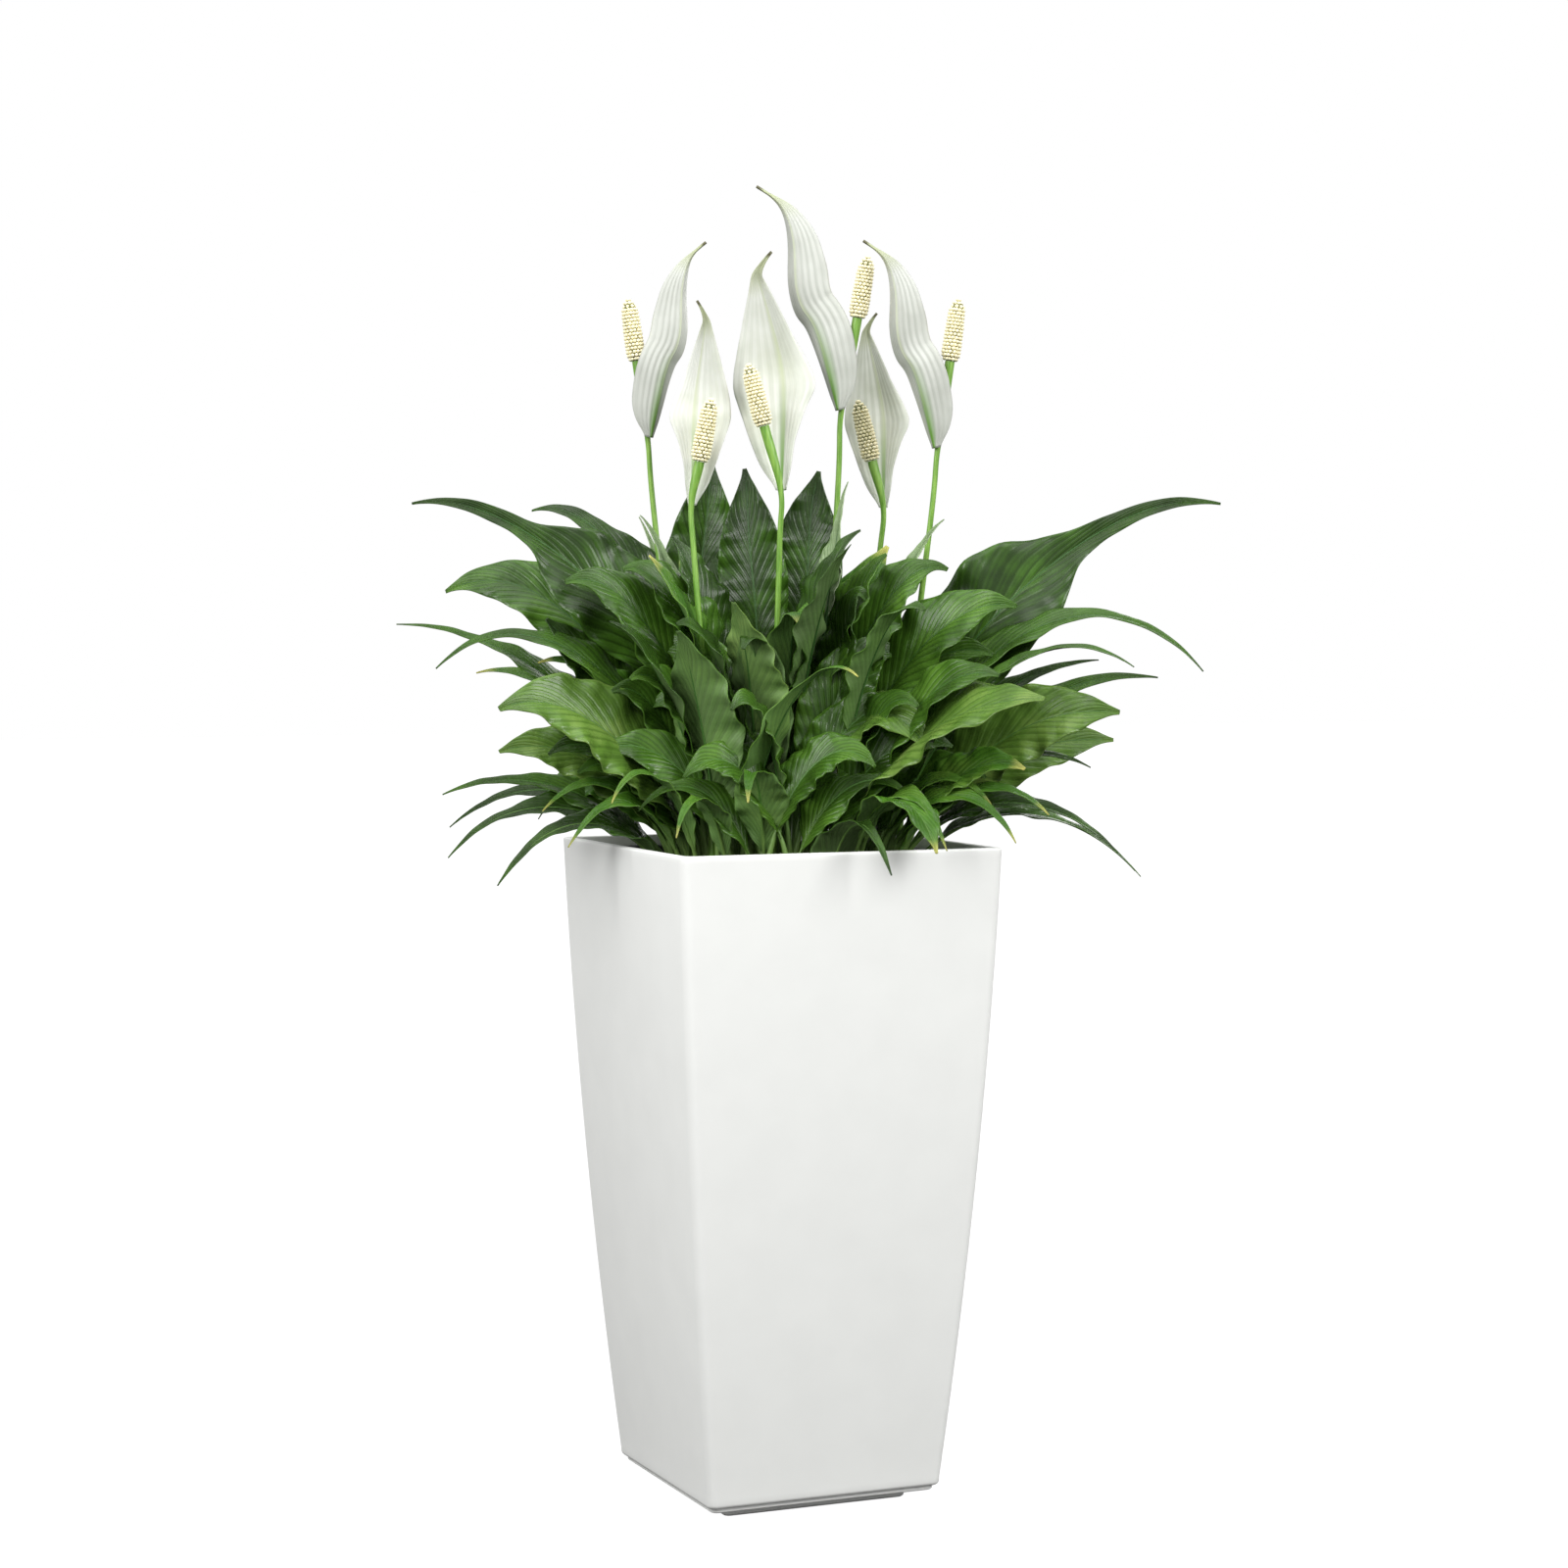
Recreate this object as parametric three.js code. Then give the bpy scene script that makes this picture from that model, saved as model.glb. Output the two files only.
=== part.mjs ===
// Potted peace lily: a tall, square, tapered planter with a lift-out liner, a drainage layer and
// potting soil, and in it a peace lily of many leaves and six flowers.
// Millimetres, +Z up. The origin is the middle of the planter's foot, on the floor.

import * as THREE from "three";
import { ParametricGeometry } from "three/addons/geometries/ParametricGeometry.js";

// ---------------------------------------------------------------- driving dimensions

const POT_HEIGHT = 575;
const RIM_HALF = 150; // half the planter's width at the rim
const HEM_HALF = 109; // half its width where the walls end, just above the foot
const HEM_Z = 13;
const WALL_BULGE = 4.8; // how far the middle of a wall stands out of a straight taper
const WALL = 5;
const CORNER = 6; // radius of the planter's upright corners
const EDGE = 3; // rounding of the rim and of the hem
const HEM_CUT = 0.6; // how much of that rounding the hem's one bevel takes off
const RIM_CUT = 0.3; // and the corner between the rim's two bevels
const RIM_LIP = 8; // width of the rim's flat top
const LEDGE_Z = 563; // the liner's flange rests on this ledge
const LEDGE = 8; // how far the ledge reaches in past the lip
const LEDGE_THICK = 3;
const FOOT_HALF = 86;
const FOOT_STEP_Z = 9;
const FOOT_STEP_HALF = 105;

const LINER_WALL = 3;
const LINER_CORNER = 8;
const LINER_DEPTH = 270;
const LINER_TAPER = 12; // how much narrower the liner's floor is than its top, each side
const LINER_PLAY = 1.5; // between the liner and the ledge's edge
const FLANGE = 2.5;
const FLANGE_PLAY = 1; // between the flange's edge and the lip
const GAP = 0.4; // clearance between pieces that touch

const SOIL_Z = 545; // top of the soil
const SOIL_CROWN = 4; // the soil is this much higher in the middle
const DRAINAGE_DEPTH = 45;

const PLANT_TURN = -23; // degrees: the plant's own x axis, its widest spread, in the pot

// ---------------------------------------------------------------- materials

const plain = (color, roughness) => new THREE.MeshStandardMaterial({ color, roughness, metalness: 0 });
const shellPlastic = plain("#f1f1ef", 0.45);
const linerPlastic = plain("#2b2c2c", 0.6);
const granules = plain("#9a6a4a", 0.95);
const soilMatter = plain("#2d221a", 1.0);
const leafGreen = plain("#2f5f24", 0.4);
const stemGreen = plain("#6c9a3c", 0.5);
const spatheWhite = plain("#eef0e6", 0.5);
const spadixCream = plain("#e9dfae", 0.8);

// ---------------------------------------------------------------- helpers

const { degToRad, lerp, clamp, smoothstep } = THREE.MathUtils;
const UP = new THREE.Vector3(0, 0, 1);

function named(name, geometry, material) {
  const mesh = new THREE.Mesh(geometry, material);
  mesh.name = name;
  return mesh;
}

// A closed skin whose section at each station along it is given by sectionAt(along, around). Its
// quads are split one way in the first half of the section and the other way in the second, so the
// two faces of a thin, twisted sheet bend along the same lines and can't cross.
function skin(sectionAt, around, stations) {
  const geometry = new ParametricGeometry((u, v, point) => sectionAt(v, u % 1, point), around, stations);
  const row = around + 1;
  const index = [];
  for (let i = 0; i < stations; i++) {
    for (let j = 0; j < around; j++) {
      const a = i * row + j;
      const [b, c, d] = [a + 1, a + 1 + row, a + row];
      index.push(...(j < around / 2 ? [a, b, d, b, c, d] : [a, b, c, a, c, d]));
    }
  }
  geometry.setIndex(index);
  return geometry;
}

// The point at a share of the way round a square of the given half width with rounded corners.
const CORNER_STEPS = 3;
const SQUARE_POINTS = 4 * (CORNER_STEPS + 1);
function onRoundedSquare(share, half, corner) {
  const index = Math.round(share * SQUARE_POINTS) % SQUARE_POINTS;
  const side = Math.floor(index / (CORNER_STEPS + 1));
  const turn = (index % (CORNER_STEPS + 1)) / CORNER_STEPS;
  const radius = Math.min(corner, half);
  const angle = ((side + turn) * Math.PI) / 2;
  const middle = (side + 0.5) * (Math.PI / 2);
  const reach = (half - radius) * Math.SQRT2;
  return [
    reach * Math.cos(middle) + radius * Math.cos(angle),
    reach * Math.sin(middle) + radius * Math.sin(angle),
  ];
}

// A square turning: like a lathe's profile of [half width, height] points, but round a square.
function squareTurning(profile, corner) {
  return skin(
    (along, around, point) => {
      const [half, height] = profile[Math.round(along * (profile.length - 1))];
      const [x, y] = onRoundedSquare(around, half, corner);
      point.set(x, y, height);
    },
    SQUARE_POINTS,
    profile.length - 1,
  );
}

// ---------------------------------------------------------------- planter

// Half the planter's outer width at a height: a straight taper with a slow outward curve.
function outerHalf(height) {
  const share = (height - HEM_Z) / (POT_HEIGHT - HEM_Z);
  return lerp(HEM_HALF, RIM_HALF, share) + WALL_BULGE * 4 * share * (1 - share);
}

function planterShell() {
  const WALL_STATIONS = 9;
  const LEDGE_UNDERCUT = 12;
  const FLOOR_Z = HEM_Z + WALL;
  const lipInner = RIM_HALF - RIM_LIP;
  const ledgeInner = lipInner - LEDGE;
  const wallHeights = (low, high) =>
    Array.from({ length: WALL_STATIONS }, (_, i) => lerp(low, high, i / (WALL_STATIONS - 1)));
  const outside = wallHeights(HEM_Z + EDGE, POT_HEIGHT - EDGE).map((z) => [outerHalf(z), z]);
  const inside = wallHeights(LEDGE_Z - LEDGE_UNDERCUT, FLOOR_Z).map((z) => [outerHalf(z) - WALL, z]);
  const profile = [
    [0, 0],
    [FOOT_HALF, 0],
    [FOOT_HALF, FOOT_STEP_Z],
    [FOOT_STEP_HALF, FOOT_STEP_Z],
    [FOOT_STEP_HALF, HEM_Z],
    [HEM_HALF - EDGE * HEM_CUT, HEM_Z],
    ...outside,
    [RIM_HALF - EDGE * RIM_CUT, POT_HEIGHT - EDGE * RIM_CUT],
    [RIM_HALF - EDGE, POT_HEIGHT],
    [lipInner, POT_HEIGHT],
    [lipInner, LEDGE_Z],
    [ledgeInner, LEDGE_Z],
    [ledgeInner, LEDGE_Z - LEDGE_THICK],
    ...inside,
    [0, FLOOR_Z],
  ];
  return named("planter_shell", squareTurning(profile, CORNER), shellPlastic);
}

const linerTop = LEDGE_Z + GAP + FLANGE;
const linerFloor = linerTop - LINER_DEPTH;
const linerTopHalf = RIM_HALF - RIM_LIP - LEDGE - LINER_PLAY;
// Half the liner's outer width at a height.
const linerHalf = (height) =>
  linerTopHalf - (LINER_TAPER * (linerTop - height)) / LINER_DEPTH;

function planterLiner() {
  const inner = (z) => linerHalf(z) - LINER_WALL;
  const profile = [
    [0, linerFloor],
    [linerHalf(linerFloor), linerFloor],
    [linerHalf(LEDGE_Z + GAP), LEDGE_Z + GAP],
    [RIM_HALF - RIM_LIP - FLANGE_PLAY, LEDGE_Z + GAP],
    [RIM_HALF - RIM_LIP - FLANGE_PLAY, linerTop],
    [inner(linerTop), linerTop],
    [inner(linerFloor + LINER_WALL), linerFloor + LINER_WALL],
    [0, linerFloor + LINER_WALL],
  ];
  return named("planter_liner", squareTurning(profile, LINER_CORNER), linerPlastic);
}

// What fills the liner between two heights, a small gap away from its walls.
function filling(name, low, high, crown, material) {
  const SHOULDER = 0.6; // the top is still nearly full height at this share of its half width
  const SHOULDER_HEIGHT = 0.8;
  const half = (z) => linerHalf(z) - LINER_WALL - GAP;
  const profile = [
    [0, low],
    [half(low), low],
    [half(high), high],
    [half(high) * SHOULDER, high + crown * SHOULDER_HEIGHT],
    [0, high + crown],
  ];
  return named(name, squareTurning(profile, LINER_CORNER), material);
}

const drainageFoot = linerFloor + LINER_WALL + GAP;
const drainageTop = drainageFoot + DRAINAGE_DEPTH;
const drainageLayer = () => filling("drainage_layer", drainageFoot, drainageTop, 0, granules);
const pottingSoil = () => filling("potting_soil", drainageTop + GAP, SOIL_Z, SOIL_CROWN, soilMatter);

// ---------------------------------------------------------------- leaves

// Heights in this section are above the soil's top.
const PETIOLE_FOOT = 3.0; // a leaf stalk's radius at the soil
const PETIOLE_NECK = 1.9; // and where the blade begins
const BLADE_THICK = 0.8; // half the blade's thickness at the midrib
const FOLD = 0.28; // how far the blade's edges rise, as a share of its half width
const ROLL_FROM = 0.05; // a leaf's roll starts and is complete at these shares of its length
const ROLL_TO = 0.45;
const FOLD_FULL = 0.2; // the share of the blade over which its fold opens
const NECK_FROM = -0.1; // the stalk turns into the midrib between these shares of the blade
const NECK_TO = 0.25;
const TIP_THIN = 0.5; // the tip's thickness, as a share of the blade's
const LEAF_AROUND = 4; // points round a leaf's section
const LEAF_STATIONS = 16;

// Half the width of a blade along it, as [share of its length, share of its widest] points. A broad
// blade is an oval with a short point, a long one runs out into a thin tip, and a tailed one
// narrows at once to a long tail.
const OUTLINES = {
  broad: [
    [0, 0.05], [0.12, 0.5], [0.22, 0.78], [0.35, 0.96], [0.45, 1],
    [0.58, 0.95], [0.7, 0.8], [0.8, 0.58], [0.9, 0.28], [1, 0.02],
  ],
  long: [
    [0, 0.05], [0.12, 0.6], [0.22, 0.9], [0.32, 1], [0.41, 0.94], [0.5, 0.72],
    [0.58, 0.46], [0.68, 0.28], [0.8, 0.2], [0.9, 0.12], [1, 0.01],
  ],
  tailed: [
    [0, 0.05], [0.1, 0.45], [0.2, 0.78], [0.3, 0.96], [0.38, 1], [0.46, 0.94],
    [0.52, 0.74], [0.58, 0.4], [0.65, 0.22], [0.75, 0.17], [0.88, 0.11], [1, 0.01],
  ],
};

// The height of a line of [place, height] points at a place.
function lineAt(points, place) {
  const next = Math.max(1, points.findIndex(([x]) => x >= place));
  const [[x0, y0], [x1, y1]] = [points[next - 1], points[next]];
  return lerp(y0, y1, clamp((place - x0) / (x1 - x0), 0, 1));
}

// The midrib of a leaf: out of the soil, up its stalk, over its crest and down to its tip.
function midrib({ turn, reach, tip, crest, base, swing }) {
  const foot = soilPoint(base, turn + swing);
  const end = polar(reach, turn, tip);
  const STALK_LEAN = 0.12;
  const CREST_AT = 0.62;
  const STALK_RISE = 0.55;
  const knee = foot.clone().lerp(end, STALK_LEAN).setZ(lerp(foot.z, SOIL_Z + crest, STALK_RISE));
  const top = foot.clone().lerp(end, CREST_AT).setZ(SOIL_Z + crest);
  return new THREE.CubicBezierCurve3(foot, knee, top, end);
}

function polar(radius, degrees, height) {
  const angle = degToRad(degrees);
  return new THREE.Vector3(radius * Math.cos(angle), radius * Math.sin(angle), SOIL_Z + height);
}

// A point just above the soil, at a radius and direction from its middle.
const soilPoint = (radius, degrees) => polar(radius, degrees, SOIL_CROWN + GAP);

// The blade's sideways and upper directions at a place on the midrib, turned by roll degrees.
function leafFrame(tangent, roll) {
  const side = UP.clone().cross(tangent).normalize().applyAxisAngle(tangent, degToRad(roll));
  const upper = tangent.clone().cross(side);
  return { side, upper };
}

function leaf(name, row) {
  const curve = midrib(row);
  const stalk = 1 - row.blade / curve.getLength();
  const section = (along, around, point) => {
    const share = (along - stalk) / (1 - stalk);
    const closing = along === 0 || along === 1 ? 0 : 1;
    const stem = lerp(PETIOLE_FOOT, PETIOLE_NECK, clamp(along / stalk, 0, 1));
    const wide = share > 0 ? (row.width / 2) * lineAt(OUTLINES[row.form], clamp(share, 0, 1)) : 0;
    const half = Math.max(share > 0 ? BLADE_THICK : stem, wide);
    const thinning = lerp(1, TIP_THIN, clamp(share, 0, 1));
    const thick = lerp(stem, BLADE_THICK, smoothstep(share, NECK_FROM, NECK_TO)) * thinning;
    const roll = row.roll * smoothstep(along, ROLL_FROM, ROLL_TO);
    const { side, upper } = leafFrame(curve.getTangentAt(along), roll);
    const angle = around * 2 * Math.PI;
    const across = Math.cos(angle) * half * closing;
    const fold = Math.abs(across) * FOLD * smoothstep(share, 0, FOLD_FULL);
    const lift = Math.sin(angle) * thick * closing + fold;
    point.copy(curve.getPointAt(along)).addScaledVector(side, across).addScaledVector(upper, lift);
  };
  return named(name, skin(section, LEAF_AROUND, LEAF_STATIONS), leafGreen);
}

// Each row is one leaf: the direction it grows in, how far out its tip is, the heights of its tip
// and of its crest, the blade's length and width, how far from the middle its stalk leaves the
// soil, its roll, its outline, and how far round from its own direction its stalk starts where that
// isn't 0. Degrees and mm.
const leafRows = {
  upright: [
    [126, 100, 372, 346, 190, 68, 110, 70, "broad", 10],
    [132, 48, 361, 320, 185, 62, 20, -45, "broad", -12],
    [55, 67, 360, 315, 170, 64, 40, 50, "broad", 13],
    [248, 98, 241, 215, 165, 66, 34, -20, "broad"],
    [234, 149, 217, 195, 180, 70, 86, 0, "broad"],
    [201, 160, 237, 223, 180, 58, 66, -20, "broad", 3],
    [331, 83, 303, 288, 190, 76, 26, 25, "broad", -90],
    [150, 142, 320, 290, 130, 26, 88, -20, "long"],
    [22, 160, 316, 288, 170, 44, 56, 0, "long"],
  ],
  left: [
    [183, 320, 324, 350, 300, 92, 34, -62, "tailed"],
    [160, 236, 328, 348, 220, 74, 48, -50, "long", -3],
    [172, 300, 253, 296, 210, 62, 66, -58, "broad"],
    [182, 335, 225, 225, 230, 40, 78, -30, "long"],
    [190, 302, 185, 270, 240, 46, 56, -34, "long"],
    [168, 277, 179, 194, 200, 48, 88, -46, "long"],
    [206, 262, 148, 176, 220, 84, 80, -58, "broad"],
    [195, 250, 113, 140, 170, 58, 94, -56, "broad"],
    [184, 296, 75, 112, 230, 50, 102, -34, "long"],
    [202, 262, 0, 84, 200, 42, 108, -30, "long"],
  ],
  right: [
    [1, 392, 323, 346, 360, 104, 78, 64, "tailed", -8],
    [350, 372, 180, 308, 310, 48, 84, 30, "long", -3],
    [337, 330, 188, 248, 250, 42, 102, 20, "long", -2],
    [0, 337, 178, 186, 240, 50, 104, 50, "long"],
    [324, 277, 162, 172, 250, 84, 58, 40, "broad", -2],
    [345, 306, 150, 158, 200, 74, 108, 62, "broad"],
    [7, 304, 122, 132, 190, 60, 112, 58, "broad"],
    [334, 257, 60, 112, 170, 48, 116, 24, "long", -6],
    [355, 320, 0, 94, 220, 36, 118, 16, "long"],
  ],
  front: [
    [297, 208, 14, 86, 190, 44, 100, 0, "long"],
    [311, 204, 30, 112, 130, 46, 96, 0, "broad"],
    [262, 178, 74, 132, 140, 48, 80, 0, "long"],
    [294, 160, 178, 214, 185, 56, 74, 10, "long", -50],
    [319, 167, 235, 262, 160, 60, 56, 20, "broad", 6],
  ],
  back: [
    [40, 300, 150, 240, 240, 72, 70, 30, "long", -14],
    [62, 260, 60, 150, 200, 60, 100, 20, "long"],
    [85, 290, 190, 265, 240, 76, 80, -20, "broad"],
    [112, 310, 110, 190, 240, 62, 96, -30, "long"],
    [138, 300, 40, 130, 220, 58, 104, -20, "long"],
  ],
};

function leaves() {
  return Object.entries(leafRows).flatMap(([group, rows]) =>
    rows.map(([turn, reach, tip, crest, blade, width, base, roll, form, swing = 0], i) =>
      leaf(`${group}_leaf_${i + 1}`, { turn, reach, tip, crest, blade, width, base, roll, form, swing }),
    ),
  );
}

// ---------------------------------------------------------------- flowers

const SCAPE_FOOT = 3.2; // a flower stalk's radius at the soil
const SCAPE_NECK = 2.4; // below its flower
const SCAPE_TOP = 4.4; // and under the spadix, where it widens
const SPADIX_RADIUS = 8.8;
const SPADIX_LENGTH = 56;
const SPADIX_SHOULDER = 0.6; // its radius at its foot, as a share of its widest
const SPADIX_SWELL = 4; // how fast it widens above its foot
const SPADIX_TAPER_FROM = 0.5; // it narrows above this share of its length
const SPADIX_TAPER = 1.3; // and this fast
const SPATHE_THICK = 0.7; // half the spathe's thickness
const SPATHE_MIN_HALF = 1.5; // half the width of its tail
const SPATHE_CURL = 1.4; // how much more its edges come forward than its middle
const SPATHE_STAND_OFF = 7; // from the middle of the stalk back to the spathe
const [SCAPE_AROUND, SCAPE_STATIONS] = [6, 12]; // points round each section, and sections
const [SPADIX_AROUND, SPADIX_STATIONS] = [8, 8];
const [SPATHE_AROUND, SPATHE_STATIONS] = [8, 16];

// The two shapes of spathe. A line is the midrib, as [share of its sway, share of its rise] points.
// An outline is [share of the midrib, half width on the full side, half width on the slim side]
// points. One that looks forward is a kite with a drawn-out tip, one that looks away is an S.
const SPATHE_SHAPES = {
  forward: {
    line: [[0, 0], [0.05, 0.43], [0.37, 0.64], [0.88, 0.85], [1, 0.91], [0.66, 0.97], [0.4, 1]],
    outline: [
      [0, 0.08, 0.08], [0.09, 0.42, 0.17], [0.2, 0.64, 0.22], [0.33, 0.86, 0.42], [0.43, 1, 0.68],
      [0.53, 0.93, 0.5], [0.62, 0.78, 0.34], [0.75, 0.48, 0.22], [0.85, 0.22, 0.12], [0.91, 0.07, 0.05],
      [1, 0.02, 0.02],
    ],
  },
  away: {
    line: [
      [0, 0], [0.2, 0.35], [0.38, 0.45], [0.47, 0.56], [0.49, 0.71], [0.56, 0.83], [0.71, 0.93], [1, 1],
    ],
    outline: [
      [0, 0.15, 0.1], [0.06, 0.6, 0.25], [0.14, 0.86, 0.35], [0.3, 1, 0.5], [0.45, 1, 0.55],
      [0.6, 0.95, 0.5], [0.74, 0.7, 0.34], [0.82, 0.42, 0.2], [0.88, 0.16, 0.1], [0.92, 0.05, 0.05],
      [1, 0.02, 0.02],
    ],
  },
};

// Each row is one flower: where its stalk leaves the soil, where its spathe leaves the stalk, how
// far above that its tip is, how far it bows back and sways sideways on the way, its shape, its wider
// half's width and the side that is on, how far its edges come forward, the direction it faces, how
// far the stalk goes on above the spathe's foot, and the spadix's lean.
const flowerRows = [
  { foot: [-84, 22], node: [-115, 22, 388], rise: 172, bow: 8, sway: 49, shape: "away", half: 21, full: 1,
    cup: 0.8, facing: 118, neck: 68, lean: -8 },
  { foot: [-56, -52], node: [-75, -40, 326], rise: 178, bow: 20, sway: 12, shape: "forward", half: 33,
    full: 1, cup: 0.3, facing: 268, neck: 38, lean: 11 },
  { foot: [-4, -14], node: [3, -24, 340], rise: 208, bow: 26, sway: -22, shape: "forward", half: 45,
    full: -1, cup: 0.3, facing: 262, neck: 56, lean: -15 },
  { foot: [40, 24], node: [57, 22, 412], rise: 197, bow: 8, sway: -72, shape: "away", half: 24, full: -1,
    cup: 0.8, facing: 62, neck: 82, lean: 10 },
  { foot: [70, 86], node: [96, 66, 328], rise: 175, bow: 20, sway: -16, shape: "forward", half: 36,
    full: -1, cup: 0.3, facing: 264, neck: 42, lean: -14 },
  { foot: [108, 22], node: [142, 10, 378], rise: 182, bow: 8, sway: -63, shape: "away", half: 22, full: -1,
    cup: 0.8, facing: 62, neck: 77, lean: 8 },
];

const atHeight = ([x, y], height) => new THREE.Vector3(x, y, SOIL_Z + height);
const standing = ([x, y, height]) => new THREE.Vector3(x, y, SOIL_Z + height);

// A round rod along a curve whose radius at each share of its length is given by radiusAt(share).
function rod(curve, radiusAt, around, stations) {
  const across = new THREE.Vector3(0, 1, 0);
  const section = (along, turn, point) => {
    const tangent = curve.getTangentAt(along);
    const side = across.clone().cross(tangent).normalize();
    const front = tangent.clone().cross(side);
    const angle = turn * 2 * Math.PI;
    const radius = radiusAt(along);
    point.copy(curve.getPointAt(along));
    point.addScaledVector(side, radius * Math.cos(angle)).addScaledVector(front, radius * Math.sin(angle));
  };
  return skin(section, around, stations);
}

// The flower stalk: nearly straight from the soil to the spathe's foot, then on up to the spadix.
function scapeCurve({ foot, node, neck, lean }) {
  const start = atHeight(foot, SOIL_CROWN + GAP);
  const joint = standing(node);
  const rise = joint.clone().sub(start);
  const LOW = 0.35;
  const UPRIGHT = 0.4; // how much steeper than straight the stalk starts
  const HIGH = 0.85;
  const under = start.clone().addScaledVector(rise, LOW);
  under.x = lerp(under.x, start.x, UPRIGHT);
  const leaning = new THREE.Vector3(Math.sin(degToRad(lean)), 0, 1);
  const end = joint.clone().addScaledVector(leaning, neck);
  const near = start.clone().addScaledVector(rise, HIGH);
  return new THREE.CatmullRomCurve3([start, under, near, joint, end]);
}

function scape(name, row) {
  const curve = scapeCurve(row);
  const WIDENS_OVER = 0.06; // share of the stalk on each side of the spathe's foot
  const tip = 1 - row.neck / curve.getLength();
  const radius = (along) => {
    if (along === 0 || along === 1) return 0;
    const slender = lerp(SCAPE_FOOT, SCAPE_NECK, along / tip);
    return lerp(slender, SCAPE_TOP, smoothstep(along, tip - WIDENS_OVER, tip + WIDENS_OVER));
  };
  return named(name, rod(curve, radius, SCAPE_AROUND, SCAPE_STATIONS), stemGreen);
}

function spadix(name, row) {
  const stalk = scapeCurve(row);
  const start = stalk.getPointAt(1).addScaledVector(stalk.getTangentAt(1), GAP);
  const end = start.clone().addScaledVector(stalk.getTangentAt(1), SPADIX_LENGTH);
  const radius = (along) => {
    if (along === 0 || along === 1) return 0;
    const swell = Math.min(1, SPADIX_SHOULDER + along * SPADIX_SWELL);
    const taper = Math.sqrt(1 - Math.max(0, along - SPADIX_TAPER_FROM) * SPADIX_TAPER);
    return SPADIX_RADIUS * swell * taper;
  };
  const axis = new THREE.LineCurve3(start, end);
  return named(name, rod(axis, radius, SPADIX_AROUND, SPADIX_STATIONS), spadixCream);
}

// The midrib of a spathe, from its foot on the back of the stalk to its tip.
function spatheLine({ node, rise, bow, sway, shape, facing }) {
  const forward = polar(1, facing, -SOIL_Z);
  const foot = standing(node).addScaledVector(forward, -SPATHE_STAND_OFF);
  const points = SPATHE_SHAPES[shape].line.map(([sideways, up]) => {
    const bowed = bow * 4 * up * (1 - up);
    const along = new THREE.Vector3(sway * sideways, 0, rise * up);
    return foot.clone().add(along).addScaledVector(forward, -bowed);
  });
  return { forward, curve: new THREE.CatmullRomCurve3(points) };
}

// The white spathe behind the spadix: a pointed sheet whose edges come forward on both sides.
function spathe(name, row) {
  const { forward, curve } = spatheLine(row);
  const { outline } = SPATHE_SHAPES[row.shape];
  const fullEdge = outline.map(([at, full]) => [at, full]);
  const slimEdge = outline.map(([at, , slim]) => [at, slim]);
  const section = (along, turn, point) => {
    const closing = along === 0 || along === 1 ? 0 : 1;
    const tangent = curve.getTangentAt(along);
    const front = forward.clone().addScaledVector(tangent, -forward.dot(tangent)).normalize();
    const side = tangent.clone().cross(front);
    const angle = -turn * 2 * Math.PI;
    const across = Math.cos(angle);
    const edge = across * row.full > 0 ? fullEdge : slimEdge;
    const half = Math.max(SPATHE_MIN_HALF, row.half * lineAt(edge, along));
    const lift = row.cup * half * Math.abs(across) ** SPATHE_CURL + Math.sin(angle) * SPATHE_THICK;
    point.copy(curve.getPointAt(along));
    point.addScaledVector(side, across * half * closing).addScaledVector(front, lift * closing);
  };
  return named(name, skin(section, SPATHE_AROUND, SPATHE_STATIONS), spatheWhite);
}

function flowers() {
  return flowerRows.flatMap((row, i) => {
    const name = `flower_${i + 1}`;
    return [scape(`${name}_scape`, row), spathe(`${name}_spathe`, row), spadix(`${name}_spadix`, row)];
  });
}

// ---------------------------------------------------------------- assembly

const planter = new THREE.Group();
planter.add(planterShell(), planterLiner(), drainageLayer(), pottingSoil());

const plant = new THREE.Group();
plant.rotation.z = degToRad(PLANT_TURN);
plant.add(...leaves(), ...flowers());

const pottedPeaceLily = new THREE.Group();
pottedPeaceLily.add(planter, plant);

export default pottedPeaceLily;
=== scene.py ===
# %% [markdown]
# # A potted peace lily
# A peace lily is a clump of leaves. Every leaf comes straight out of the soil on its own stalk, arches
# outwards and ends in a long drawn-out tip. The flowers stand above on bare green stalks: a white
# hood, the spathe, behind a knobbly cream spike, the spadix. This one grows in a tall square planter.
# Lengths in this lesson are in millimetres and are turned into Blender's metres when a shape is made.

import math
import random

import bpy
import mathutils
import numpy as np
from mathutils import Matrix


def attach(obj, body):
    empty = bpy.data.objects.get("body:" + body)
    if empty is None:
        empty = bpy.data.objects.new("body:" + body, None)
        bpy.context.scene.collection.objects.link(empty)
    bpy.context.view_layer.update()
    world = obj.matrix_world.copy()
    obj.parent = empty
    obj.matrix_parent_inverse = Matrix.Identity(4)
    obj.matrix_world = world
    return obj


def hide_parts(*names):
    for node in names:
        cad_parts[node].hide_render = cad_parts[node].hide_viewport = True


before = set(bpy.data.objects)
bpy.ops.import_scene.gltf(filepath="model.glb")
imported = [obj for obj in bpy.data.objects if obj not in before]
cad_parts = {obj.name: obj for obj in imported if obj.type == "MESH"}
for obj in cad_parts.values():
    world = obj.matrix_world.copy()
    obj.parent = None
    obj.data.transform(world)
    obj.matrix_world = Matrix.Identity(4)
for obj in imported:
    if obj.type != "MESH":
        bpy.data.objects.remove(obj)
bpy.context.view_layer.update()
MM = 0.001

# %% [markdown]
# ## Camera, floor and light
# A tall object is looked at from about the height of its rim, with a long lens, so that its upright
# edges stay nearly parallel. The planter is seen over one of its corners.

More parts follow.
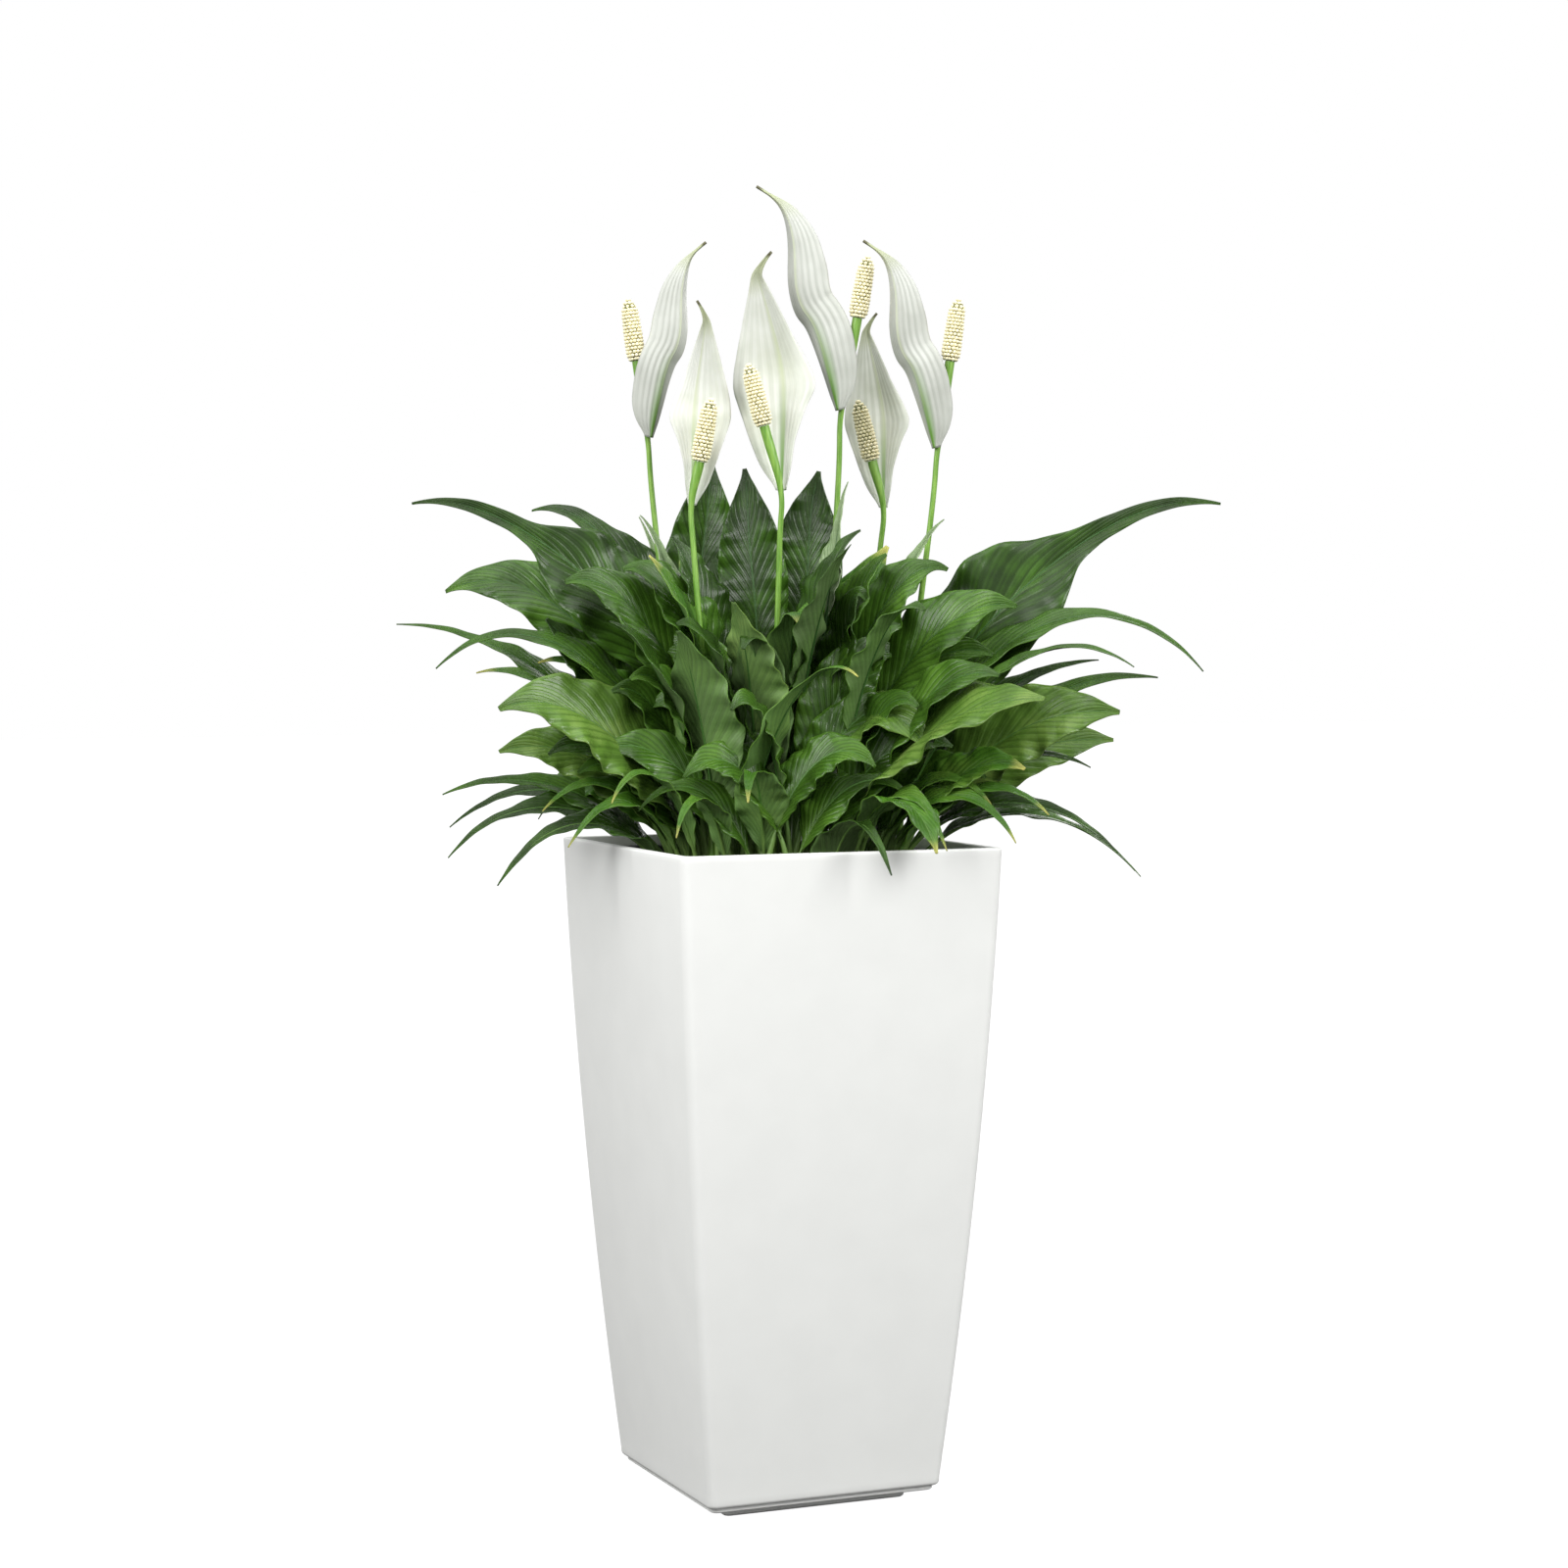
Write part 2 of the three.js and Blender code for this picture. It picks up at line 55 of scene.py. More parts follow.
# %% Camera
CAMERA_PLACE = (-1172.8, -2730.5, 766.1)
CAMERA_TURN = math.radians(23.36)  # clockwise from +Y, seen from above
CAMERA_DIP = math.radians(2.69)
LENS = 77.1

bpy.ops.object.camera_add(
    location=[MM * place for place in CAMERA_PLACE],
    rotation=(math.pi / 2 - CAMERA_DIP, 0, -CAMERA_TURN),
)
camera = bpy.context.object
camera.data.lens = LENS
bpy.context.scene.camera = camera
print("camera:", camera.location[:])

# %% [markdown]
# Soft studio light comes from everywhere: a white world and four wide lamps. The key light makes the
# front wall brighter than the side wall and puts a soft shine on the leaves, and a weak light from
# behind keeps the far side from going dull. The Standard view keeps white white.

# %% Floor and light
def area_light(name, place, aim, size, power):
    bpy.ops.object.light_add(type="AREA", location=[MM * v for v in place])
    lamp = bpy.context.object
    lamp.name = name
    lamp.data.size = MM * size
    lamp.data.energy = power
    direction = (np.array(aim) - np.array(place)) * MM
    lamp.rotation_euler = mathutils.Vector(direction).to_track_quat("-Z", "Y").to_euler()
    return lamp


bpy.ops.mesh.primitive_plane_add(size=40)
floor = bpy.context.object
floor.name = "floor"

area_light("key_light", (1000, -2000, 1950), (0, 0, 600), 1300, 46)
area_light("side_light", (-1900, -700, 1700), (0, 0, 700), 1300, 38)
area_light("back_light", (2100, 1500, 1900), (0, 0, 700), 1600, 24)
area_light("top_light", (-200, -300, 3200), (0, 0, 900), 2400, 34)

scene = bpy.context.scene
scene.view_settings.view_transform = "Standard"
scene.world = bpy.data.worlds.new("studio")
scene.world.use_nodes = True
world_nodes, world_links = scene.world.node_tree.nodes, scene.world.node_tree.links
soft_fill = world_nodes["Background"]
soft_fill.inputs["Color"].default_value = (1, 1, 1, 1)
soft_fill.inputs["Strength"].default_value = 0.78
backdrop = world_nodes.new("ShaderNodeBackground")
backdrop.inputs["Color"].default_value = (1, 1, 1, 1)
backdrop.inputs["Strength"].default_value = 1.0
seen_or_lighting = world_nodes.new("ShaderNodeMixShader")
world_links.new(world_nodes.new("ShaderNodeLightPath").outputs["Is Camera Ray"], seen_or_lighting.inputs[0])
world_links.new(soft_fill.outputs[0], seen_or_lighting.inputs[1])
world_links.new(backdrop.outputs[0], seen_or_lighting.inputs[2])
world_links.new(seen_or_lighting.outputs[0], world_nodes["World Output"].inputs["Surface"])

# %% [markdown]
# ## Finishes
# Each finish is a small node tree on a Principled shader. A few helpers keep the trees short: each
# adds a node, sets its sockets and hands on its output. One turns a colour written as on a paint card
# into the linear numbers that Blender mixes.

# %% Node helpers
def paint(code):
    shares = [int(code[i : i + 2], 16) / 255 for i in (1, 3, 5)]
    linear = [s / 12.92 if s <= 0.04045 else ((s + 0.055) / 1.055) ** 2.4 for s in shares]
    return (*linear, 1)


class Finish:
    """A material being put together: its nodes, its links and its Principled shader."""

    def __init__(self, name, roughness, **sockets):
        self.material = bpy.data.materials.new(name)
        self.material.use_nodes = True
        self.nodes = self.material.node_tree.nodes
        self.links = self.material.node_tree.links
        self.shader = self.nodes["Principled BSDF"]
        self.shader.inputs["Roughness"].default_value = roughness
        for socket, value in sockets.items():
            self.shader.inputs[socket.replace("_", " ")].default_value = value

    def feed(self, socket, value):
        if isinstance(value, bpy.types.NodeSocket):
            self.links.new(value, socket)
        else:
            socket.default_value = value

    def coordinates(self, output):
        return self.nodes.new("ShaderNodeTexCoord").outputs[output]

    def noise(self, where, scale, detail, stretch=(1, 1, 1)):
        mapping = self.nodes.new("ShaderNodeMapping")
        self.feed(mapping.inputs["Vector"], where)
        mapping.inputs["Scale"].default_value = stretch
        texture = self.nodes.new("ShaderNodeTexNoise")
        self.feed(texture.inputs["Vector"], mapping.outputs[0])
        texture.inputs["Scale"].default_value = scale
        texture.inputs["Detail"].default_value = detail
        return texture.outputs["Fac"]

    def math(self, operation, *values):
        node = self.nodes.new("ShaderNodeMath")
        node.operation = operation
        for socket, value in zip(node.inputs, values):
            self.feed(socket, value)
        return node.outputs[0]

    def times(self, first, second):
        return self.math("MULTIPLY", first, second)

    def wave(self, course):
        """A wave between 0 and 1."""
        return self.math("MULTIPLY_ADD", self.math("COSINE", course), 0.5, 0.5)

    def blade_map(self):
        """The shares of the way from a blade's foot to its tip and from its midrib to its edge."""
        split = self.nodes.new("ShaderNodeSeparateXYZ")
        self.feed(split.inputs[0], self.coordinates("UV"))
        across = self.math("MULTIPLY_ADD", split.outputs["Y"], 2.0, -1.0)
        return split.outputs["X"], self.math("ABSOLUTE", across)

    def ramp(self, amount, *stops):
        node = self.nodes.new("ShaderNodeValToRGB")
        self.feed(node.inputs[0], amount)
        while len(node.color_ramp.elements) < len(stops):
            node.color_ramp.elements.new(0.5)
        for element, (place, color) in zip(node.color_ramp.elements, stops):
            element.position = place
            element.color = color
        return node.outputs[0]

    def mix(self, amount, first, second):
        node = self.nodes.new("ShaderNodeMix")
        node.data_type = "RGBA"
        self.feed(node.inputs["Factor"], amount)
        self.feed(node.inputs["A"], first)
        self.feed(node.inputs["B"], second)
        return node.outputs["Result"]

    def bump(self, height, distance, strength=1.0):
        node = self.nodes.new("ShaderNodeBump")
        self.feed(node.inputs["Height"], height)
        node.inputs["Distance"].default_value = distance * MM
        node.inputs["Strength"].default_value = strength
        self.feed(self.shader.inputs["Normal"], node.outputs[0])

    def color(self, value):
        self.feed(self.shader.inputs["Base Color"], value)


BLACK, WHITE = (0, 0, 0, 1), (1, 1, 1, 1)

# The floor glows, but only to the eye. That keeps it as white as the backdrop behind it, and its dark
# paint throws little light back up on the planter.
FLOOR_GLOW = 1.0
floor_finish = Finish("pale_floor", 0.8, Emission_Color=WHITE)
seen = floor_finish.nodes.new("ShaderNodeLightPath").outputs["Is Camera Ray"]
glow = floor_finish.times(seen, FLOOR_GLOW)
floor_finish.feed(floor_finish.shader.inputs["Emission Strength"], glow)
floor_finish.color(paint("#383838"))
floor.data.materials.append(floor_finish.material)

# %% [markdown]
# The planter is moulded in matt white plastic with a fine grain. The grain is a small bump, and a very
# faint cloudiness keeps the big walls from looking like paper.

# %% Planter finishes
def speckled(name, roughness, noise, stops, relief_noise, depth, strength=1.0):
    """A finish whose colours follow one noise and whose relief, in millimetres, follows another."""
    finish = Finish(name, roughness)
    where = finish.coordinates("Object")
    speckles = finish.noise(where, *noise)
    finish.color(finish.ramp(speckles, *[(place, paint(code)) for place, code in stops]))
    finish.bump(finish.noise(where, *relief_noise), depth, strength)
    return finish.material


CLOUDS = [(0.3, "#edeeeb"), (0.7, "#f0f1ee")]
SCUFFS = [(0.35, "#181919"), (0.75, "#2c2d2d")]
CRUMBS = [(0.3, "#0f0b08"), (0.5, "#2b2018"), (0.62, "#4a3828"), (0.75, "#1a130e")]
GRAINS = [(0.35, "#6b4127"), (0.65, "#a8744f")]
PLANTER = speckled("white_planter_plastic", 0.42, (22, 3), CLOUDS, (900, 2), 0.05, 0.5)
LINER = speckled("dark_liner_plastic", 0.55, (60, 5), SCUFFS, (700, 2), 0.08, 0.5)
SOIL = speckled("damp_potting_soil", 0.95, (160, 8), CRUMBS, (260, 8), 2.0)
GRANULES = speckled("clay_granules", 0.9, (120, 3), GRAINS, (120, 3), 3.0)

# %% [markdown]
# ## Planter and liner
# The planter is square all the way down, so it is made like a lathe turning with square rings: one
# plate with rounded corners, whose edge is extruded and resized again and again along a profile.
# That keeps the corners one clean curve from the rim to the foot.

# %% A square turning
def give(piece, *materials):
    for material in materials:
        piece.data.materials.append(material)


def nothing_selected():
    if bpy.context.object and bpy.context.object.mode == "EDIT":
        bpy.ops.object.mode_set(mode="OBJECT")
    bpy.ops.object.select_all(action="DESELECT")


def square_turning(name, profile, corner, corner_steps=6):
    """A closed shape of square rings. Its profile lists their [half width, height] one after another."""
    nothing_selected()
    first_half, first_height = profile[0]
    bpy.ops.mesh.primitive_plane_add(size=2 * first_half * MM, location=(0, 0, first_height * MM))
    piece = bpy.context.object
    piece.name = name
    bpy.ops.object.transform_apply()
    bpy.ops.object.mode_set(mode="EDIT")
    bpy.ops.mesh.select_all(action="SELECT")
    bpy.ops.mesh.bevel(offset=corner * MM, segments=corner_steps, affect="VERTICES")
    half, height = first_half, first_height
    for next_half, next_height in profile[1:]:
        rise = (0, 0, (next_height - height) * MM)
        bpy.ops.mesh.extrude_region_move(TRANSFORM_OT_translate={"value": rise})
        share = next_half / half
        bpy.ops.transform.resize(value=(share, share, 1), center_override=(0, 0, next_height * MM))
        half, height = next_half, next_height
    bpy.ops.mesh.select_all(action="SELECT")
    bpy.ops.mesh.normals_make_consistent(inside=False)
    bpy.ops.object.mode_set(mode="OBJECT")
    bpy.ops.object.shade_smooth_by_angle(angle=math.radians(25))
    return piece


# %% [markdown]
# The wall leans outwards on its way up and swells a little. Its foot is a plate set in under the hem,
# so the planter seems to float just above the floor. Inside the flat lip a ledge carries the liner.

# %% Planter shell
POT_HEIGHT, RIM_HALF, HEM_Z, HEM_HALF, WALL_BULGE = 575, 150, 13, 109, 4.8
WALL, RIM_LIP, LEDGE_Z, LEDGE = 5, 8, 563, 8
FOOT_HALF, FOOT_STEP_HALF, FOOT_STEP_Z = 86, 105, 9
LEDGE_THICK, FLOOR_Z = 4, 18
CORNER = 5  # radius of the upright corners
GAP = 0.4  # between pieces that touch


def outer_half(height):
    share = (height - HEM_Z) / (POT_HEIGHT - HEM_Z)
    return HEM_HALF + (RIM_HALF - HEM_HALF) * share + WALL_BULGE * 4 * share * (1 - share)


def rounded_edge(half, height, radius, start, end, steps=5):
    """Points of a quarter turn in the profile, between two directions in degrees."""
    turns = [math.radians(start + (end - start) * i / steps) for i in range(steps + 1)]
    return [(half + radius * math.cos(turn), height + radius * math.sin(turn)) for turn in turns]


WALL_RINGS = [HEM_Z + 8 + i * (POT_HEIGHT - HEM_Z - 14) / 24 for i in range(25)]
shell_profile = [(FOOT_HALF - 1.5, 0), (FOOT_HALF, 1.5), (FOOT_HALF, FOOT_STEP_Z)]
shell_profile += [(FOOT_STEP_HALF - 1, FOOT_STEP_Z), (FOOT_STEP_HALF, FOOT_STEP_Z + 1)]
shell_profile += [(FOOT_STEP_HALF, HEM_Z)]
shell_profile += rounded_edge(HEM_HALF - 3.4, HEM_Z + 4, 4, -90, -5)
shell_profile += [(outer_half(z), z) for z in WALL_RINGS]
shell_profile += rounded_edge(RIM_HALF - 2, POT_HEIGHT - 2, 2, 0, 90)
shell_profile += rounded_edge(RIM_HALF - RIM_LIP + 1.2, POT_HEIGHT - 1.2, 1.2, 90, 180)
lip_inner = RIM_HALF - RIM_LIP
ledge_inner = lip_inner - LEDGE
shell_profile += [(lip_inner, LEDGE_Z), (ledge_inner, LEDGE_Z), (ledge_inner, LEDGE_Z - LEDGE_THICK)]
shell_profile += [(outer_half(z) - WALL, z) for z in (540, 420, 300, 180, 60, FLOOR_Z)]

planter = square_turning("white_planter", shell_profile, CORNER)
give(planter, PLANTER)
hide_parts("planter_shell")
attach(planter, "root")
print("planter faces:", len(planter.data.polygons))

# %% [markdown]
# Of the liner only the dark edge inside the rim shows. It is turned like the planter, with a rounded
# edge. The drainage layer is covered, so its solid stays as it is and only gets a finish.

# %% Liner and drainage layer
LINER_TOP, LINER_FLOOR = 565.9, 295.9
LINER_TOP_HALF, LINER_TAPER = 132.5, 12
LINER_WALL, LINER_CORNER, LINER_EDGE = 3, 8, 1.6
FLANGE_PLAY, FLANGE_EDGE = 1, 0.8  # between the flange and the lip, and the flange's bevel


def liner_half(height):
    return LINER_TOP_HALF - LINER_TAPER * (LINER_TOP - height) / (LINER_TOP - LINER_FLOOR)


flange_half = lip_inner - FLANGE_PLAY
edge_half = liner_half(LINER_TOP) - LINER_WALL + LINER_EDGE
liner_profile = [(liner_half(LINER_FLOOR), LINER_FLOOR), (liner_half(LEDGE_Z), LEDGE_Z + GAP)]
liner_profile += [(flange_half, LEDGE_Z + GAP), (flange_half, LINER_TOP - FLANGE_EDGE)]
liner_profile += [(flange_half - FLANGE_EDGE, LINER_TOP)]
liner_profile += rounded_edge(edge_half, LINER_TOP - LINER_EDGE, LINER_EDGE, 90, 180)[:-1]
liner_profile += [(liner_half(z) - LINER_WALL, z) for z in (560, 440, 299)]
liner = square_turning("planter_liner_tub", liner_profile, LINER_CORNER)
give(liner, LINER)
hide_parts("planter_liner")
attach(liner, "root")

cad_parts["drainage_layer"].data.materials.clear()
give(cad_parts["drainage_layer"], GRANULES)

# %% [markdown]
# ## Soil
# The soil is a crumbly, slightly crowned surface. A fine grid is extruded down to make it a solid,
# and then its top is raised into crumbs.

# %% Soil
SOIL_Z, SOIL_CROWN, SOIL_BOTTOM = 545, 4, 520
SOIL_HALF = liner_half(SOIL_Z) - LINER_WALL - 0.6


def crumbly(x, y):
    """Height of the soil's top above its edge, in millimetres."""
    crown = SOIL_CROWN * max(0.0, 1 - (x * x + y * y) / SOIL_HALF**2)
    lumps = math.sin(x * 0.31 + 2 * math.sin(y * 0.17)) * math.sin(y * 0.27 + 2 * math.sin(x * 0.13))
    fine = math.sin(x * 1.3 + y * 0.7) * math.sin(y * 1.1 - x * 0.5)
    return crown + 1.1 * lumps + 0.5 * fine


nothing_selected()
bpy.ops.mesh.primitive_grid_add(
    x_subdivisions=90, y_subdivisions=90, size=2 * SOIL_HALF * MM, location=(0, 0, SOIL_Z * MM)
)
soil = bpy.context.object
soil.name = "crumbly_soil"
bpy.ops.object.transform_apply()
bpy.ops.object.mode_set(mode="EDIT")
bpy.ops.mesh.select_all(action="SELECT")
bpy.ops.mesh.extrude_region_move(TRANSFORM_OT_translate={"value": (0, 0, (SOIL_BOTTOM - SOIL_Z) * MM)})
bpy.ops.mesh.select_all(action="SELECT")
bpy.ops.mesh.normals_make_consistent(inside=False)
bpy.ops.object.mode_set(mode="OBJECT")
for vertex in soil.data.vertices:
    if vertex.co.z > (SOIL_Z - 1) * MM:
        vertex.co.z += crumbly(vertex.co.x / MM, vertex.co.y / MM) * MM
bpy.ops.object.shade_smooth()
give(soil, SOIL)
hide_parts("potting_soil")
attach(soil, "root")

# %% [markdown]
# ## Leaf finishes
# A peace lily leaf is dark and glossy above, paler and duller below. A pale midrib runs along it and
# many fine side veins leave the midrib at a slant and curve towards the tip. The pattern follows the
# leaf, so it is drawn on the leaf's own map: u runs from the stalk to the tip, v across the blade.

# %% Leaf finish
VEINS = 15
VEIN_SLANT = 0.30  # how far towards the tip a side vein gets on its way to the edge, in blade lengths
UNDERSIDE, FADE = paint("#8fae72"), 0.28  # a leaf's lower face is this much of this colour
DRY_TIP = paint("#c9c46a")


def leaf_finish(name, dark, mid, bright, tip_amount, roughness, specular):
    finish = Finish(name, roughness, Specular_IOR_Level=specular)
    along, from_midrib = finish.blade_map()
    where = finish.coordinates("Object")

    slant = finish.times(finish.math("POWER", from_midrib, 0.8), VEIN_SLANT)
    course = finish.times(finish.math("SUBTRACT", along, slant), VEINS * 2 * math.pi)
    veins = finish.wave(course)
    fine_veins = finish.wave(finish.times(course, 3.0))
    vein_line = finish.math("POWER", veins, 5.0)

    body = finish.ramp(finish.noise(where, 26, 4), (0.32, dark), (0.52, mid), (0.72, bright))
    body = finish.mix(finish.times(fine_veins, 0.16), body, bright)
    body = finish.mix(finish.times(vein_line, 0.65), body, dark)
    midrib = finish.ramp(from_midrib, (0.015, WHITE), (0.055, BLACK))
    body = finish.mix(finish.times(midrib, 0.55), body, bright)
    # The blade's edge is painted lighter: a painted highlight along its rim.
    edge = finish.ramp(from_midrib, (0.955, BLACK), (1.0, WHITE))
    body = finish.mix(finish.times(edge, 0.45), body, bright)
    tip_share = finish.ramp(along, (0.90, BLACK), (0.99, WHITE))
    body = finish.mix(finish.times(tip_share, tip_amount), body, DRY_TIP)
    finish.color(body)

    shine = finish.math("MULTIPLY_ADD", finish.noise(where, 55, 3), 0.22, roughness - 0.11)
    finish.feed(finish.shader.inputs["Roughness"], shine)
    relief = finish.math("MULTIPLY_ADD", fine_veins, 0.25, finish.times(veins, -0.8))
    finish.bump(relief, 0.5, 0.7)
    return finish.material


def leaf_pair(name, dark, mid, bright, tip_amount=0.0):
    colors = [paint(code) for code in (dark, mid, bright)]
    faded = [[own + FADE * (pale - own) for own, pale in zip(color, UNDERSIDE)] for color in colors]
    top = leaf_finish(f"leaf_{name}", *colors, tip_amount, 0.28, 0.33)
    below = leaf_finish(f"leaf_{name}_underside", *faded, tip_amount, 0.5, 0.25)
    return top, below


LEAF_FINISHES = {
    "deep": leaf_pair("deep", "#182b08", "#2a4512", "#42681f"),
    "mid": leaf_pair("mid", "#26400e", "#3b5f1a", "#557c29"),
    "bright": leaf_pair("bright", "#2d5411", "#44701f", "#648834", tip_amount=0.8),
    "light": leaf_pair("light", "#3a571b", "#52752a", "#769246"),
    # The pale finish is for young rolled leaves: they are a lighter green, and its near-white colours on
    # top of that are a painted sheen.
    "pale": leaf_pair("pale", "#5f7d48", "#8fa878", "#c2cdb0"),
}


def stalk_finish():
    finish = Finish("leaf_stalk", 0.42)
    where = finish.coordinates("Object")
    height = finish.nodes.new("ShaderNodeSeparateXYZ")
    finish.feed(height.inputs[0], where)
    pale_foot, green, dark = (0.54, paint("#8aa75a")), (0.62, paint("#4d7a30")), (0.75, paint("#2c5520"))
    low = finish.ramp(height.outputs["Z"], pale_foot, green, dark)
    streaks = finish.noise(where, 40, 3, stretch=(9, 9, 1))
    finish.color(finish.mix(finish.times(streaks, 0.4), low, paint("#2b4d1c")))
    finish.bump(streaks, 0.3, 0.5)
    return finish.material


STALK = stalk_finish()

# %% [markdown]
# ## How a leaf is laid out
# A leaf's midrib is one Bezier curve: out of the soil, up the stalk, over a crest and down to the tip.
# The numbers below are a leaf's direction, how far out its tip is, the heights of its tip and of its
# crest above the soil, the blade's length and width, how far from the middle its stalk leaves the
# soil, how far it is rolled about its midrib, its outline, and how far round from its own direction
# its stalk starts where that isn't 0. They are the solids' own numbers.

# %% Midribs
PLANT_TURN = math.radians(-23)  # the plant's own x axis, its widest spread, in the planter
KNEE_LEAN, KNEE_RISE = 0.12, 0.55  # where the curve's knee is, in shares of the way to the tip and crest
CREST_AT = 0.62


def turned(points):
    """From the plant's own axes to the planter's."""
    c, s = math.cos(PLANT_TURN), math.sin(PLANT_TURN)
    return np.asarray(points, float) @ np.array([[c, s, 0], [-s, c, 0], [0, 0, 1]])


def polar(radius, degrees, height):
    angle = math.radians(degrees)
    return np.array([radius * math.cos(angle), radius * math.sin(angle), SOIL_Z + height])


def unit(vectors):
    return vectors / np.linalg.norm(vectors, axis=-1, keepdims=True)


class Midrib:
    """A Bezier curve that can be asked for its point and direction at a share of its length."""

    STEPS = 400

    def __init__(self, start, knee, top, end):
        t = np.linspace(0, 1, self.STEPS + 1)[:, None]
        a, b, c, d = (np.asarray(p, float) for p in (start, knee, top, end))
        self.points = (1 - t) ** 3 * a + 3 * (1 - t) ** 2 * t * b + 3 * (1 - t) * t**2 * c + t**3 * d
        lengths = np.linalg.norm(np.diff(self.points, axis=0), axis=1)
        self.run = np.concatenate([[0], np.cumsum(lengths)])
        self.length = self.run[-1]
        self.directions = unit(np.gradient(self.points, axis=0))

    def at(self, shares):
        wanted = np.clip(shares, 0, 1) * self.length

        def pick(values):
            return np.stack([np.interp(wanted, self.run, column) for column in values.T], axis=-1)

        return pick(self.points), unit(pick(self.directions))


def leaf_midrib(row):
    foot = polar(row["base"], row["turn"] + row["swing"], SOIL_CROWN + GAP)
    end = polar(row["reach"], row["turn"], row["tip"])
    knee = foot + KNEE_LEAN * (end - foot)
    knee[2] = foot[2] + KNEE_RISE * (SOIL_Z + row["crest"] - foot[2])
    top = foot + CREST_AT * (end - foot)
    top[2] = SOIL_Z + row["crest"]
    return Midrib(foot, knee, top, end)


# %% [markdown]
# ## The leaf blank
# One flat grid is the blank for every blade, and one tapered rod is the blank for every stalk. Each
# leaf gets copies of both. The blade is shaped while it is flat, which is easy to think about: an
# outline, a fold along the midrib, grooves where the veins are, and waves that grow towards the edge.
# Then it is laid along its midrib and given its thickness.

# %% Blanks
BLADE_ROWS, BLADE_COLUMNS = 84, 18
STALK_RINGS, STALK_SIDES = 40, 8

nothing_selected()
bpy.ops.mesh.primitive_grid_add(
    x_subdivisions=BLADE_ROWS, y_subdivisions=BLADE_COLUMNS, size=1, calc_uvs=True
)
blade_blank = bpy.context.object
blade_blank.name = "blade_blank"
bpy.ops.object.shade_smooth()

nothing_selected()
bpy.ops.mesh.primitive_cylinder_add(vertices=STALK_SIDES, radius=1, depth=1, rotation=(0, math.pi / 2, 0))
stalk_blank = bpy.context.object
stalk_blank.name = "stalk_blank"
bpy.ops.object.transform_apply()
bpy.ops.object.mode_set(mode="EDIT")
for ring in range(1, STALK_RINGS):
    bpy.ops.mesh.select_all(action="SELECT")
    bpy.ops.mesh.bisect(plane_co=(ring / STALK_RINGS - 0.5, 0, 0), plane_no=(1, 0, 0))
bpy.ops.object.mode_set(mode="OBJECT")
bpy.ops.object.shade_smooth()
print("blade blank:", len(blade_blank.data.vertices), "stalk blank:", len(stalk_blank.data.vertices))


def copy_of(blank, name):
    nothing_selected()
    piece = blank.copy()
    piece.data = blank.data.copy()
    piece.name = piece.data.name = name
    bpy.context.collection.objects.link(piece)
    bpy.context.view_layer.objects.active = piece
    piece.select_set(True)
    return piece


def places(piece):
    spots = np.empty(len(piece.data.vertices) * 3)
    piece.data.vertices.foreach_get("co", spots)
    return spots.reshape(-1, 3)


def put(piece, spots):
    piece.data.vertices.foreach_set("co", np.ascontiguousarray(spots, float).ravel())
    piece.data.update()


# %% [markdown]
# Laying a leaf along its midrib needs three directions at every place: along, sideways and up out of
# the blade. Sideways starts level and is turned about the midrib by the leaf's roll.

# %% Laying along a midrib
ROLL_FROM, ROLL_TO = 0.05, 0.45  # the shares of a leaf's length between which it rolls


def soft_step(values, low, high):
    share = np.clip((values - low) / (high - low), 0, 1)
    return share * share * (3 - 2 * share)


def lay_along(midrib, along, sideways, outwards, roll):
    """World points, in metres, of flat points given by share of length and millimetres off the midrib."""
    centre, direction = midrib.at(along)
    side = unit(np.cross([0, 0, 1], direction))
    upper = np.cross(direction, side)
    angle = np.radians(roll * soft_step(along, ROLL_FROM, ROLL_TO))[:, None]
    rolled_side = side * np.cos(angle) + upper * np.sin(angle)
    rolled_upper = upper * np.cos(angle) - side * np.sin(angle)
    points = centre + rolled_side * sideways[:, None] + rolled_upper * outwards[:, None]
    return turned(points) * MM


# A blade's half width along it, as (share of its length, share of its widest) points.
OUTLINES = {
    "broad": [
        (0, 0.05), (0.12, 0.5), (0.22, 0.78), (0.35, 0.96), (0.45, 1),
        (0.58, 0.95), (0.7, 0.8), (0.8, 0.58), (0.9, 0.28), (1, 0.02),
    ],
    "long": [
        (0, 0.05), (0.12, 0.6), (0.22, 0.9), (0.32, 1), (0.41, 0.94), (0.5, 0.72),
        (0.58, 0.46), (0.68, 0.28), (0.8, 0.2), (0.9, 0.12), (1, 0.01),
    ],
    "tailed": [
        (0, 0.05), (0.1, 0.45), (0.2, 0.78), (0.3, 0.96), (0.38, 1), (0.46, 0.94),
        (0.52, 0.74), (0.58, 0.4), (0.65, 0.22), (0.75, 0.17), (0.88, 0.11), (1, 0.01),
    ],
}


def rounded_outline(points, share, reach=0.05):
    """The outline at a share of the length. The mean of readings near by rounds its corners."""
    shares, widths = zip(*points)
    readings = [np.interp(share + shift, shares, widths) for shift in np.linspace(-reach, reach, 5)]
    return np.mean(readings, axis=0)


# %% [markdown]
# A broad blade is an oval with a short point. A long one is widest soon after the stalk and runs out
# into a thin tip. A tailed one narrows at once to a long tail.

# %% One leaf
BLADE_THICKNESS = 0.7
TAIL_HALF = 0.5  # half the width that a tail keeps up to the leaf's tip
FOLD, WAVES = 0.28, 0.12  # how far the edges rise and how high their waves are, in half widths
VEIN_DEPTH, CHANNEL_DEPTH = 0.55, 0.9  # of the grooves over the side veins and over the midrib
STALK_FOOT, STALK_NECK, MIDRIB_END = 2.9, 1.9, 0.35  # the stalk's radius on its way to the tip


def drift(row, share, phase):
    """How far the blade, midrib and all, strays sideways from its line, in millimetres."""
    return 0.02 * row["blade"] * np.sin(math.pi * 1.3 * share + phase) * soft_step(share, 0.3, 1.0)


